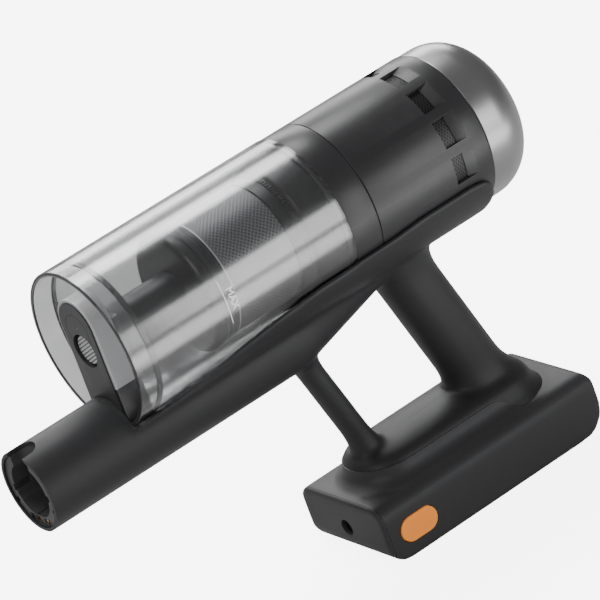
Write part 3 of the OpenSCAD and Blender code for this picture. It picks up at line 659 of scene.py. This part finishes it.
def makeFrame(shape):
    bm = bmesh.new()
    rodX(bm, nozzleX - 6 * mm, 8 * mm, shape["tubeR"], tubeZ)
    tilt = Matrix.Rotation(radians(90 - shape["keelTilt"]), 4, "Y")
    middle = Matrix.Translation((0, 0, shape["keelLength"] / 2 - 6 * mm))
    bmesh.ops.create_cone(bm, cap_ends=True, segments=96, radius1=shape["keelR"], radius2=shape["keelR"],
                          depth=shape["keelLength"], matrix=Matrix.Translation((0, 0, tubeZ)) @ tilt @ middle)
    top = axisZ - 66 * mm
    loftStadium(bm, limbSections(shape["strutX"], 54 * mm, top + 4 * mm, shape["strutR"], shape["strutR"],
                                 3.5 * mm, 12 * mm))
    loftStadium(bm, limbSections(shape["gripX"], 54 * mm, top + 22 * mm, shape["gripHalfDeep"],
                                 shape["gripHalfWide"], 5 * mm, 10 * mm))
    loftStadium(bm, footSections(shape))
    arms = sidePrism([(rimX + x * mm, axisZ + z * mm) for x, z in lipEdge], 70 * mm)
    armPiece = toPiece("arms", arms)
    cutWith(armPiece, [rodCutter(rimX - 3 * mm, rimX + 262 * mm, shape["cradleR"])], "INTERSECT")
    bm.from_mesh(armPiece.data)
    bpy.data.objects.remove(armPiece)
    body = remeshed("frameBody", bm, shape["voxel"], shape["softening"])
    ringGap = shape["saddleGap"]
    seamLine = [(batteryX - 20 * mm, 20 * mm), (batteryX - 20 * mm, shape["seamZ"])]
    for step in range(9):
        share = step / 8
        drop = (1 - cos(pi * share)) / 2
        seamLine.append((rimX + (215 + 20 * share) * mm,
                         shape["seamZ"] + (shape["deckZ"] - shape["seamZ"]) * drop))
    seamLine += [(batteryEndX + 20 * mm, shape["deckZ"]), (batteryEndX + 20 * mm, 20 * mm)]
    under = toPiece("cutter", sidePrism(seamLine, 60 * mm))
    notch = slotCutter(shape)
    cutWith(body, [under, rodCutter(rimX - 0.3 * mm, endX, cupR + ringGap),
                   rodCutter(nozzleX - 20 * mm, nozzleX, 60 * mm, tubeZ),
                   rodCutter(nozzleX - 10 * mm, nozzleX + 32 * mm, shape["tubeR"] - 2.4 * mm, tubeZ),
                   rodCutter(nozzleX + 30 * mm, rimX - 3 * mm, shape["socketR"] + 3.4 * mm, tubeZ), notch])
    halves = {}
    for name, side in (("frameLeft", -1), ("frameRight", 1)):
        half = bmesh.new()
        half.from_mesh(body.data)
        cut = bmesh.ops.bisect_plane(half, geom=half.verts[:] + half.edges[:] + half.faces[:],
                                     plane_co=(0, side * shape["partGap"], 0), plane_no=(0, -side, 0),
                                     clear_outer=True)["geom_cut"]
        rim = [item for item in cut if isinstance(item, bmesh.types.BMEdge)]
        bmesh.ops.triangle_fill(half, use_beauty=True, use_dissolve=False, edges=rim)
        halves[name] = toPiece(name, half, 40)
    bpy.data.objects.remove(body)
    finishPiece(halves["frameLeft"], "main", shellGrey, ["frame_left"])
    finishPiece(halves["frameRight"], "main", shellGrey, ["frame_right"])


# U-shaped notch in the top of the nozzle end
def slotCutter(shape):
    bm = bmesh.new()
    place = Matrix.Translation((nozzleX + 5.2 * mm, 0, tubeZ + 20 * mm))
    bmesh.ops.create_cone(bm, cap_ends=True, segments=64, radius1=8.5 * mm, radius2=8.5 * mm, depth=30 * mm,
                          matrix=place)
    notch = toPiece("cutter", bm)
    return cutWith(notch, [blockCutter((nozzleX - 4 * mm, -8.5 * mm, tubeZ + 5 * mm),
                                       (nozzleX + 5.2 * mm, 8.5 * mm, tubeZ + 35 * mm))], "UNION")


# Screws that hold the two halves together: place along x, height and head depth
screwPlaces = ((frameShape["strutX"] + 32 * mm, 143 * mm, 20 * mm),
               (frameShape["gripX"] - 6 * mm, 118 * mm, 14 * mm),
               (frameShape["gripX"] + 7 * mm, 74 * mm, 14 * mm),
               (frameShape["footFront"] + 15 * mm, 50.6 * mm, 13 * mm))
screwShape = {"headR": 2.9 * mm, "headDepth": 2.3 * mm, "shankR": 1.4 * mm, "tipY": -5 * mm}


def makeScrews(places, shape):
    bm = bmesh.new()
    for x, z, head in places:
        neck = head - shape["headDepth"]
        for radius, low, high in ((shape["headR"], neck, head), (shape["shankR"], shape["tipY"], neck)):
            place = Matrix.Translation((x, (low + high) / 2, z)) @ Matrix.Rotation(radians(90), 4, "X")
            bmesh.ops.create_cone(bm, cap_ends=True, segments=32, radius1=radius, radius2=radius,
                                  depth=high - low, matrix=place)
    finishPiece(toPiece("frameScrews", bm), "main", steelPlain, ["frame_screws"])


makeScrews(screwPlaces, screwShape)
makeFrame(frameShape)
print("frame shells are made")


# Nozzle end: face ring with the keyed opening, and the contact block

collarShape = {"outerR": 22.75 * mm, "boreR": 17 * mm, "face": 1.2 * mm, "depth": 28 * mm, "holeY": 19.4 * mm,
               "holeDrop": 9.6 * mm, "holeR": 1.7 * mm, "blockHalfWide": 9.6 * mm, "slotY": 4.7 * mm}


def makeNozzle(shape):
    bm = bmesh.new()
    rodX(bm, nozzleX + shape["face"], nozzleX + shape["face"] + shape["depth"], shape["outerR"], tubeZ)
    collar = toPiece("nozzleCollar", bm)
    cutters = [rodCutter(nozzleX, nozzleX + 40 * mm, shape["boreR"], tubeZ),
               blockCutter((nozzleX, -8.5 * mm, tubeZ + 10 * mm),
                           (nozzleX + 5.2 * mm, 8.5 * mm, tubeZ + 30 * mm)),
               blockCutter((nozzleX, -11.2 * mm, tubeZ - 22 * mm),
                           (nozzleX + 12 * mm, 11.2 * mm, tubeZ - 16.4 * mm))]
    end = bmesh.new()
    bmesh.ops.create_cone(end, cap_ends=True, segments=64, radius1=8.5 * mm, radius2=8.5 * mm, depth=20 * mm,
                          matrix=Matrix.Translation((nozzleX + 5.2 * mm, 0, tubeZ + 20 * mm)))
    cutters.append(toPiece("cutter", end))
    for side in (-1, 1):
        wall = side * shape["boreR"]
        cutters.append(blockCutter((nozzleX, wall - 1.8 * mm, tubeZ - 3.6 * mm),
                                   (nozzleX + 12 * mm, wall + 1.8 * mm, tubeZ + 0.8 * mm)))
        cutters.append(rodCutter(nozzleX, nozzleX + 9 * mm, shape["holeR"], tubeZ - shape["holeDrop"],
                                 side * shape["holeY"], segments=32))
    cutWith(collar, cutters)
    finishPiece(collar, "main", collarGrey, ["nozzle_collar"], 0.35 * mm)
    bm = bmesh.new()
    block(bm, (nozzleX + 2 * mm, -shape["blockHalfWide"], tubeZ - 21.6 * mm),
          (nozzleX + 11 * mm, shape["blockHalfWide"], tubeZ - 16.9 * mm))
    contact = toPiece("contactBlock", bm)
    cutters = [rodCutter(nozzleX, nozzleX + 30 * mm, shape["boreR"] + 0.2 * mm, tubeZ)]
    for side in (-1, 1):
        slotY = side * shape["slotY"]
        cutters.append(blockCutter((nozzleX, slotY - 3.3 * mm, tubeZ - 20.9 * mm),
                                   (nozzleX + 5 * mm, slotY + 3.3 * mm, tubeZ - 18 * mm)))
    cutWith(contact, cutters)
    finishPiece(contact, "main", collarGrey, ["contact_block"], 0.2 * mm)


makeNozzle(collarShape)
print("nozzle end is made")


# Motor housing with slanted exhaust windows

housingShape = {"wall": 2.6 * mm, "ventX": capX - 27.6 * mm, "ventLength": 9 * mm, "ventHalfAngle": 10,
                "pitch": 360 / 13.2, "count": 12, "scoop": 7.2 * mm, "scoopDepth": 1.9 * mm,
                "grilleLow": 3.1 * mm, "grilleHigh": 2.35 * mm}


# A sector of a ring, from radius low to high; the high edge may slope along x
def ringSector(x1, x2, low1, low2, high, angle, halfAngle):
    bm = bmesh.new()
    outlineFace(bm, [(x1, low1), (x2, low2), (x2, high), (x1, high)])
    turn = Matrix.Rotation(radians(angle - halfAngle), 3, "X")
    bmesh.ops.rotate(bm, verts=bm.verts, cent=(0, 0, 0), matrix=turn)
    bmesh.ops.spin(bm, geom=bm.faces[:], cent=(0, 0, 0), axis=(1, 0, 0), angle=radians(2 * halfAngle),
                   steps=10)
    bmesh.ops.translate(bm, vec=(0, 0, axisZ), verts=bm.verts)
    return toPiece("cutter", bm)


def makeHousing(shape):
    start, stop, wall = ringEndX + 0.3 * mm, capX - 0.35 * mm, shape["wall"]
    x1, x2 = shape["ventX"], shape["ventX"] + shape["ventLength"]
    before, behind, inner = x1 - 1.5 * mm, x2 + shape["scoop"] + 1 * mm, housingR - wall
    bm = spunShape([(start, housingR, 0.5 * mm), (before, housingR), (behind, housingR),
                    (stop, housingR, 0.5 * mm), (stop, inner), (behind, inner), (before, inner),
                    (start, inner)], steps=240, segments=3)
    housing = toPiece("motorHousing", bm)
    cutters = []
    for index in range(shape["count"]):
        angle = (index - (shape["count"] - 1) / 2) * shape["pitch"]
        cutters.append(ringSector(x1, x2, housingR - 4 * mm, housingR - 4 * mm, housingR + 1 * mm, angle,
                                  shape["ventHalfAngle"]))
        cutters.append(ringSector(x2 - 0.1 * mm, x2 + shape["scoop"], housingR - shape["scoopDepth"],
                                  housingR + 0.15 * mm, housingR + 1 * mm, angle, shape["ventHalfAngle"]))
    cutWith(housing, cutters)
    finishPiece(housing, "main", housingGrey, ["motor_housing"], 0.3 * mm)
    low, high = housingR - shape["grilleLow"], housingR - shape["grilleHigh"]
    bm = spunShape([(x1 - 1 * mm, low), (x1 - 1 * mm, high), (x2 + 1 * mm, high), (x2 + 1 * mm, low)],
                   steps=240)
    finishPiece(toPiece("ventGrille", bm), "main", ventWeave, ())


makeHousing(housingShape)
print("motor housing is made")


# Rear cap: a satin turned shell with a dished end round the control pod

capShape = {"corner": 26 * mm, "edge": 0.6 * mm, "wall": 2.2 * mm, "podR": 18.4 * mm, "bodyR": 49.2 * mm,
            "dish": 1.2 * mm}


def makeCap(shape):
    start, r, wall = capX, shape["bodyR"], shape["wall"]
    bm = spunShape([(start, r, shape["edge"]), (endX, r, shape["corner"]), (endX, 21.5 * mm, 1.5 * mm),
                    (endX - shape["dish"], shape["podR"], 0.3 * mm), (endX - 6 * mm, shape["podR"]),
                    (endX - 6 * mm, 22 * mm, 2 * mm), (endX - wall, r - wall - 4 * mm, shape["corner"] - wall),
                    (start, r - wall)], steps=256, segments=24)
    finishPiece(toPiece("rearCap", bm), "rear_cap", capSatin, ["rear_cap"])


makeCap(capShape)
print("rear cap is made")


# Control pod with a glossy lens and two keys

podShape = {"podR": 18 * mm, "lensR": 16.2 * mm, "keyR": 3.4 * mm, "holeR": 3.75 * mm, "drop": 9 * mm,
            "keyY": 6 * mm, "airHoles": 12, "airHoleR": 6 * mm, "airRingR": 31 * mm}


def makeControls(shape):
    pod = toPiece("controlPod", spunShape(
        [(capX - 6.4 * mm, housingR - 2.7 * mm), (capX - 3.4 * mm, housingR - 2.7 * mm),
         (capX - 3.4 * mm, shape["podR"]), (endX - 1.4 * mm, shape["podR"], 0.6 * mm),
         (endX - 1.4 * mm, shape["lensR"] + 0.25 * mm), (endX - 3.2 * mm, shape["lensR"] + 0.25 * mm),
         (endX - 3.2 * mm, 0), (endX - 8 * mm, 0), (endX - 8 * mm, shape["podR"] - 2 * mm),
         (capX - 6.4 * mm, shape["podR"] - 2 * mm)], segments=3))
    holes = [rodCutter(endX - 10 * mm, endX, shape["holeR"], axisZ - shape["drop"], side * shape["keyY"])
             for side in (-1, 1)]
    slots = []
    for index in range(shape["airHoles"]):
        angle = 2 * pi * index / shape["airHoles"]
        slots.append(rodCutter(capX - 8 * mm, capX - 1 * mm, shape["airHoleR"],
                               axisZ + shape["airRingR"] * cos(angle), shape["airRingR"] * sin(angle),
                               segments=48))
    finishPiece(cutWith(pod, holes + slots), "main", trimGrey, ["control_pod"], 0.25 * mm)
    lens = toPiece("displayLens", spunShape([(endX - 3 * mm, 0), (endX - 3 * mm, shape["lensR"]),
                                             (endX - 1.5 * mm, shape["lensR"], 0.5 * mm),
                                             (endX - 1.2 * mm, 0)]))
    holes = [rodCutter(endX - 10 * mm, endX, shape["holeR"], axisZ - shape["drop"], side * shape["keyY"])
             for side in (-1, 1)]
    finishPiece(cutWith(lens, holes), "main", lensBlack, ["display_lens"], 0.15 * mm)
    for name, node, body, side in (("powerButton", "power_button", "power_key", -1),
                                   ("modeButton", "mode_button", "mode_key", 1)):
        low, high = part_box(node)
        key = toPiece(name, spunShape([(low.x, 0), (low.x, shape["keyR"]), (high.x, shape["keyR"], 0.6 * mm),
                                       (high.x - 0.5 * mm, 0)],
                                      axisZ - shape["drop"], side * shape["keyY"], 48))
        finishPiece(key, body, buttonSilver, [node])


makeControls(podShape)
print("controls are made")


# Battery: two shells with the collar that meets the foot, and the pill keys

batteryShape = {"length": 167 * mm, "height": 38.2 * mm, "frontCorner": 13 * mm, "rearLow": 18 * mm,
                "rearTop": 6 * mm, "frontTop": 2.5 * mm, "lowCorner": 1.5 * mm, "topCorner": 9.5 * mm,
                "split": 2.6 * mm, "voxel": 1.25 * mm, "softening": 7, "gap": 0.12 * mm,
                "portR": 5.3 * mm, "portZ": 18.6 * mm,
                "pillGap": 0.55 * mm, "pillCut": 6 * mm, "pillDepth": 3.2 * mm, "pillProud": 0.25 * mm}


# Skirt line between foot and battery; lift moves it up or down
def seamCorners(lift, outward):
    shape = frameShape
    corners = [(batteryX - 20 * mm, shape["seamZ"] + lift)]
    for step in range(13):
        share = step / 12
        drop = (1 - cos(pi * share)) / 2
        corners.append((rimX + (219 + 20 * share) * mm,
                        shape["seamZ"] + (shape["deckZ"] - shape["seamZ"]) * drop + lift))
    corners.append((batteryEndX + 30 * mm, shape["deckZ"] + lift))
    return corners + [(batteryEndX + 30 * mm, outward), (batteryX - 20 * mm, outward)]


def pillCutter(side, grow, depth):
    bm = bmesh.new()
    reach = pillHigh.x - pillLow.x
    halfTall = (pillHigh.z - pillLow.z) / 2 + grow
    place = Matrix.Translation((pillX, side * batteryHalfW, pillZ)) @ Matrix.Rotation(radians(90), 4, "X")
    made = bmesh.ops.create_cone(bm, cap_ends=True, segments=96, radius1=halfTall, radius2=halfTall,
                                 depth=depth, matrix=place)["verts"]
    straight = reach / 2 + grow - halfTall
    for vert in made:
        away = vert.co.x - pillX
        vert.co.x += straight * (1 if away > 1e-7 else -1 if away < -1e-7 else 0)
    return bm


def makeBattery(shape):
    x1, x2, top = batteryX, batteryX + shape["length"], shape["height"]
    side = toPiece("batteryBody", sidePrism([(x1, 0, shape["frontCorner"]), (x2, 0, shape["rearLow"]),
                                             (x2, top, shape["rearTop"]), (x1, top, shape["frontTop"])],
                                            60 * mm, 14))
    half = batteryHalfW
    end = toPiece("cutter", endPrism([(-half, 0, shape["lowCorner"]), (half, 0, shape["lowCorner"]),
                                      (half, top, shape["topCorner"]), (-half, top, shape["topCorner"])],
                                     x1 - 5 * mm, x2 + 5 * mm, 12))
    cutWith(side, [end], "INTERSECT")
    bm = bmesh.new()
    bm.from_mesh(side.data)
    bpy.data.objects.remove(side)
    centre = (frameShape["footFront"] + frameShape["footRear"]) / 2
    halfLength = (frameShape["footRear"] - frameShape["footFront"]) / 2
    rows = ((30, 12.5), (36.6, 11.2), (38.6, 9.2), (40.2, 6.2), (42, 3.6), (44, 2.0), (46.5, 1.1), (49, 0.55),
            (54, 0.3))
    loftStadium(bm, [((centre, 0, z * mm), halfLength + grow * 0.9 * mm,
                      frameShape["footHalfWide"] + grow * 0.85 * mm) for z, grow in rows], 96)
    body = remeshed("batteryShell", bm, shape["voxel"], shape["softening"])
    cutWith(body, [toPiece("cutter", sidePrism(seamCorners(-shape["gap"], 80 * mm), 60 * mm)),
                   rodCutter(x1 - 2 * mm, x1 + 12 * mm, shape["portR"], shape["portZ"])]
            + [toPiece("cutter", pillCutter(way, shape["pillGap"], shape["pillCut"])) for way in (-1, 1)])
    for name, node, way in (("batteryFront", "battery_front", 1), ("batteryCase", "battery_case", -1)):
        part = bmesh.new()
        part.from_mesh(body.data)
        cut = bmesh.ops.bisect_plane(part, geom=part.verts[:] + part.edges[:] + part.faces[:],
                                     plane_co=(x1 + shape["split"] - way * shape["gap"], 0, 0),
                                     plane_no=(way, 0, 0), clear_outer=True)["geom_cut"]
        rim = [item for item in cut if isinstance(item, bmesh.types.BMEdge)]
        bmesh.ops.triangle_fill(part, use_beauty=True, use_dissolve=False, edges=rim)
        shell = toPiece(name, part, 40)
        finishPiece(shell, "battery", batteryGrey, [node])
    bpy.data.objects.remove(body)


def makePill(name, node, body, side):
    depth = batteryShape["pillDepth"]
    bm = pillCutter(side, 0, depth)
    outer = [face for face in bm.faces if face.normal.y * side > 0.9]
    bmesh.ops.inset_region(bm, faces=outer, thickness=0.9 * mm, depth=0)
    bmesh.ops.translate(bm, vec=(0, side * (batteryShape["pillProud"] - depth / 2), 0), verts=bm.verts)
    rimEdges = [edge for edge in bm.edges if abs(edge.calc_face_angle(0)) > 1 and
                (edge.verts[0].co.y + edge.verts[1].co.y) / 2 * side > batteryHalfW - 1 * mm]
    bmesh.ops.bevel(bm, geom=rimEdges, offset=0.6 * mm, affect="EDGES", segments=4, profile=0.5, material=-1)
    finishPiece(toPiece(name, bm), body, pillOrange, [node])


pillLow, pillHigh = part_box("battery_button_left")
makeBattery(batteryShape)
makePill("batteryButtonLeft", "battery_button_left", "battery_key_left", -1)
makePill("batteryButtonRight", "battery_button_right", "battery_key_right", 1)
print("battery is made")


# Dust cup: clear shell, front panel, and what stands inside

cupShape = {"wall": 2.2 * mm, "recess": 14 * mm, "plate": 2 * mm, "panelHalf": 15.9 * mm,
            "panelTop": axisZ + 14.6 * mm,
            "panelFace": rimX + 0.1 * mm, "panelThick": 2.4 * mm, "wallThick": 1.8 * mm, "buttonR": 9.5 * mm,
            "printGap": 0.06 * mm, "grooveHalf": 10.9 * mm, "grooveTop": 12.5 * mm, "lightZ": axisZ + 14.5 * mm,
            "ridgePitch": 2 * mm, "ridgeHalf": 0.66 * mm, "ridgeTilt": -27}


# Upright outline with a round top, pushed along x
def archPrism(x1, x2, halfWidth, topCentre, low, segments=48):
    bm = bmesh.new()
    place = Matrix.Translation(((x1 + x2) / 2, 0, topCentre)) @ Matrix.Rotation(radians(90), 4, "Y")
    made = bmesh.ops.create_cone(bm, cap_ends=True, segments=segments * 2, radius1=halfWidth, radius2=halfWidth,
                                 depth=x2 - x1, matrix=place)["verts"]
    for vert in made:
        if vert.co.z < topCentre - 1e-7:
            vert.co.z = low
            vert.co.y = halfWidth if vert.co.y > 0 else -halfWidth
    bmesh.ops.remove_doubles(bm, verts=bm.verts, dist=1e-6)
    bmesh.ops.dissolve_degenerate(bm, dist=1e-6, edges=bm.edges)
    return bm


def makeCup(shape):
    r, wall, recessX = cupR - shape["printGap"], shape["wall"], rimX + shape["recess"]
    plateX = recessX + shape["plate"]
    cup = toPiece("cupShell", spunShape(
        [(rimX, r, 0.9 * mm), (clearEndX, r), (clearEndX, r - wall), (plateX, r - wall, 1.2 * mm), (plateX, 0),
         (recessX, 0), (recessX, r - wall, 1.6 * mm), (rimX, r - wall, 0.9 * mm)], steps=192, segments=5))
    cutWith(cup, [rodCutter(recessX - 2 * mm, plateX + 2 * mm, 15.6 * mm),
                  blockCutter((rimX + 10 * mm, -15.2 * mm, axisZ - 52 * mm),
                              (plateX + 4.2 * mm, 15.2 * mm, axisZ))])
    finishPiece(cup, "dust_cup", clearSmoke, ["cup_shell"])
    lip, rim, thin = r - wall - 0.3 * mm, r + 0.02 * mm, rimX + 0.9 * mm
    bm = spunShape([(rimX, lip, 0.4 * mm), (rimX, rim, 0.6 * mm), (thin, rim, 0.2 * mm), (thin, lip)],
                   steps=192, segments=4)
    low, high = r - wall - 0.9 * mm, r - wall + 0.3 * mm
    x1, x2 = recessX - 0.5 * mm, plateX + 0.6 * mm
    addShape(bm, spunShape([(x1, high), (x1, low, 0.3 * mm), (x2, low, 0.3 * mm), (x2, high)],
                           steps=192, segments=4))
    finishPiece(toPiece("cupEdges", bm), "dust_cup", edgeSmoke, ())
    inner = shape["panelHalf"] + 0.25 * mm
    arch = toPiece("cupWall", archPrism(rimX + 0.8 * mm, recessX - 0.02 * mm, inner + shape["wallThick"],
                                        shape["panelTop"], axisZ - 60 * mm))
    cutWith(arch, [rodCutter(rimX - 5 * mm, plateX, r - wall - 0.02 * mm)], "INTERSECT")
    cutWith(arch, [toPiece("cutter", archPrism(rimX - 2 * mm, recessX + 2 * mm, inner, shape["panelTop"],
                                               axisZ - 70 * mm))])
    finishPiece(arch, "dust_cup", wallSmoke, (), 0.25 * mm)


def makePanel(shape):
    x1, x2 = shape["panelFace"], shape["panelFace"] + shape["panelThick"]
    panel = toPiece("frontPanel", archPrism(x1, x2, shape["panelHalf"], shape["panelTop"], axisZ - 60 * mm))
    cutWith(panel, [rodCutter(rimX - 5 * mm, rimX + 9 * mm, cupR - 0.15 * mm)], "INTERSECT")
    top = axisZ + shape["grooveTop"]
    groove = toPiece("cutter", archPrism(x1 - 1 * mm, x1 + 0.18 * mm, shape["grooveHalf"], top, axisZ - 1 * mm))
    cutWith(groove, [toPiece("cutter", archPrism(x1 - 2 * mm, x1 + 1 * mm, shape["grooveHalf"] - 0.3 * mm, top,
                                                 axisZ - 5 * mm))])
    cutWith(panel, [rodCutter(x1 - 3 * mm, x2 + 3 * mm, shape["buttonR"] + 1.1 * mm), groove,
                    rodCutter(x1 - 3 * mm, x1 + 0.6 * mm, 0.9 * mm, shape["lightZ"], segments=32)])
    finishPiece(panel, "dust_cup", panelGrey, ["front_panel"], 0.3 * mm)
    bm = bmesh.new()
    rodX(bm, x1 + 0.3 * mm, x1 + 1 * mm, 0.8 * mm, shape["lightZ"], segments=32)
    finishPiece(toPiece("panelLight", bm), "dust_cup", lightGuide, ())


def makeReleaseButton(shape):
    r, back = shape["buttonR"], rimX + 3.6 * mm
    face = rimX + 2 * mm
    button = toPiece("releaseButton", spunShape([(face, 0), (face, r, 0.5 * mm), (back, r), (back, 0)],
                                                segments=4))
    ridges = bmesh.new()
    for index in range(-4, 5):
        middle = index * shape["ridgePitch"]
        block(ridges, (rimX + 1.6 * mm, -14 * mm, middle - shape["ridgeHalf"]),
              (rimX + 2.6 * mm, 14 * mm, middle + shape["ridgeHalf"]), 0.2 * mm, 3)
    tilt = Matrix.Rotation(radians(shape["ridgeTilt"]), 3, "X")
    bmesh.ops.rotate(ridges, verts=ridges.verts, cent=(0, 0, 0), matrix=tilt)
    bmesh.ops.translate(ridges, verts=ridges.verts, vec=(0, 0, axisZ))
    ridgePiece = toPiece("cutter", ridges)
    cutWith(ridgePiece, [rodCutter(rimX, rimX + 5 * mm, r - 0.8 * mm)], "INTERSECT")
    cutWith(button, [ridgePiece], "UNION")
    finishPiece(button, "cup_button", ridgeSilver, ["release_button"])


# Ring of small teeth round the axis, made by turning one tooth step by step
def toothRing(bm, x1, x2, radius, depth, count):
    width = 2 * pi * radius / count * 0.5
    for index in range(count):
        place = Matrix.Translation(((x1 + x2) / 2, 0, axisZ)) @ Matrix.Rotation(2 * pi * index / count, 4, "X")
        place = place @ Matrix.Translation((0, 0, radius + depth / 2 - 0.2 * mm))
        bmesh.ops.create_cube(bm, size=1, matrix=place @ Matrix.Diagonal((x2 - x1, width, depth + 0.4 * mm, 1)))


def makeCyclone():
    pipe = toPiece("inletPipe", spunShape(
        [(rimX + 20 * mm, 13.9 * mm), (rimX + 20 * mm, 17 * mm, 0.6 * mm), (rimX + 23 * mm, 17 * mm, 0.6 * mm),
         (rimX + 23.4 * mm, 15.5 * mm), (rimX + 66 * mm, 15.5 * mm), (rimX + 66 * mm, 13.9 * mm)], segments=3))
    finishPiece(pipe, "dust_cup", gloomGrey, ["inlet_pipe"])
    shoulder = toPiece("cycloneShoulder", spunShape(
        [(rimX + 65 * mm, 15.4 * mm), (rimX + 65 * mm, 38.5 * mm, 5 * mm), (rimX + 72 * mm, 38.5 * mm, 1 * mm),
         (rimX + 73.4 * mm, 37.6 * mm, 0.5 * mm), (rimX + 76.4 * mm, 37.6 * mm, 0.5 * mm),
         (rimX + 77.2 * mm, 36.8 * mm), (rimX + 82 * mm, 36.8 * mm), (rimX + 82 * mm, 33 * mm),
         (rimX + 68 * mm, 33 * mm, 5 * mm), (rimX + 68 * mm, 15.4 * mm)], steps=160, segments=10))
    finishPiece(shoulder, "dust_cup", gloomGrey, ["cyclone_shoulder"])
    bm = spunShape([(rimX + 82 * mm, 34.8 * mm), (rimX + 82 * mm, 36 * mm), (rimX + 127 * mm, 36 * mm),
                    (rimX + 127 * mm, 34.8 * mm)], steps=192)
    finishPiece(toPiece("meshScreen", bm), "dust_cup", meshSteel, ["mesh_screen"])
    bm = spunShape([(rimX + 81.6 * mm, 36.2 * mm, 0.1 * mm), (rimX + 81.6 * mm, 37.0 * mm, 0.3 * mm),
                    (rimX + 82.4 * mm, 37.0 * mm, 0.3 * mm), (rimX + 82.4 * mm, 36.0 * mm)],
                   steps=192, segments=2)
    finishPiece(toPiece("meshRim", bm), "dust_cup", buttonSilver, ())
    bm = spunShape([(rimX + 127 * mm, 33 * mm), (rimX + 127 * mm, 37.2 * mm, 0.5 * mm),
                    (rimX + 137 * mm, 37.2 * mm, 0.5 * mm), (rimX + 139 * mm, 40.5 * mm, 1 * mm),
                    (rimX + 157 * mm, 45.5 * mm), (rimX + 157 * mm, 42 * mm), (rimX + 139 * mm, 33 * mm)],
                   steps=160, segments=3)
    toothRing(bm, rimX + 134.6 * mm, rimX + 137.6 * mm, 37.2 * mm, 1.1 * mm, 110)
    finishPiece(toPiece("cycloneCone", bm), "dust_cup", gloomGrey, ["cyclone_cone"])
    bm = spunShape([(clearEndX - 3 * mm, cupR - 2.4 * mm), (clearEndX + 0.25 * mm, cupR - 2.4 * mm),
                    (clearEndX + 0.25 * mm, housingR, 0.4 * mm), (ringEndX, housingR, 0.4 * mm),
                    (ringEndX, housingR - 4.3 * mm), (clearEndX - 3 * mm, housingR - 4.3 * mm)],
                   steps=240, segments=3)
    finishPiece(toPiece("cupRearRing", bm), "dust_cup", housingGrey, ["cup_rear_ring"], 0.2 * mm)


# Flat print wrapped on the outside of the cup: x stays, the rest becomes an angle
def wrapOnCup(bm, radius):
    for vert in bm.verts:
        angle = vert.co.y / cupR
        reach = radius + vert.co.z
        vert.co = Vector((vert.co.x, -reach * sin(angle), axisZ + reach * cos(angle)))


# Angles in degrees, from the top of the cup down its left side
markShape = {"lineX": rimX + 68 * mm, "lineAngle": 87, "lineArc": 30, "lineWidth": 0.38 * mm,
             "thick": 0.03 * mm, "lift": 0.02 * mm, "wordX": rimX + 70.7 * mm, "wordAngle": 86,
             "letter": 6.2 * mm}


def makeMark(shape):
    bm = bmesh.new()
    place = Matrix.Translation((shape["lineX"], cupR * radians(shape["lineAngle"]), shape["lift"]))
    size = (shape["lineWidth"], cupR * radians(shape["lineArc"]), shape["thick"], 1)
    bmesh.ops.create_cube(bm, size=1, matrix=place @ Matrix.Diagonal(size))
    long = [edge for edge in bm.edges if abs(edge.verts[0].co.y - edge.verts[1].co.y) > 1 * mm]
    bmesh.ops.subdivide_edges(bm, edges=long, cuts=24, use_grid_fill=True)
    curve = bpy.data.curves.new("markText", "FONT")
    curve.body = "MAX"
    curve.size = shape["letter"]
    curve.extrude = shape["thick"] / 2
    curve.align_x = "CENTER"
    curve.resolution_u = 6
    text = linked("markText", curve)
    words = bpy.data.meshes.new_from_object(text.evaluated_get(bpy.context.evaluated_depsgraph_get()))
    bpy.data.objects.remove(text)
    letters = bmesh.new()
    letters.from_mesh(words)
    bmesh.ops.scale(letters, verts=letters.verts, vec=(-1, 1, 1))
    bmesh.ops.rotate(letters, verts=letters.verts, cent=(0, 0, 0), matrix=Matrix.Rotation(radians(-90), 3, "Z"))
    bmesh.ops.translate(letters, verts=letters.verts,
                        vec=(shape["wordX"], cupR * radians(shape["wordAngle"]), shape["lift"]))
    addShape(bm, letters)
    wrapOnCup(bm, cupR - cupShape["printGap"] + 0.01 * mm)
    finishPiece(toPiece("levelMark", bm), "dust_cup", markWhiteGlow, ())


makeCup(cupShape)
makePanel(cupShape)
makeReleaseButton(cupShape)
makeCyclone()
makeMark(markShape)
print("dust cup is made")
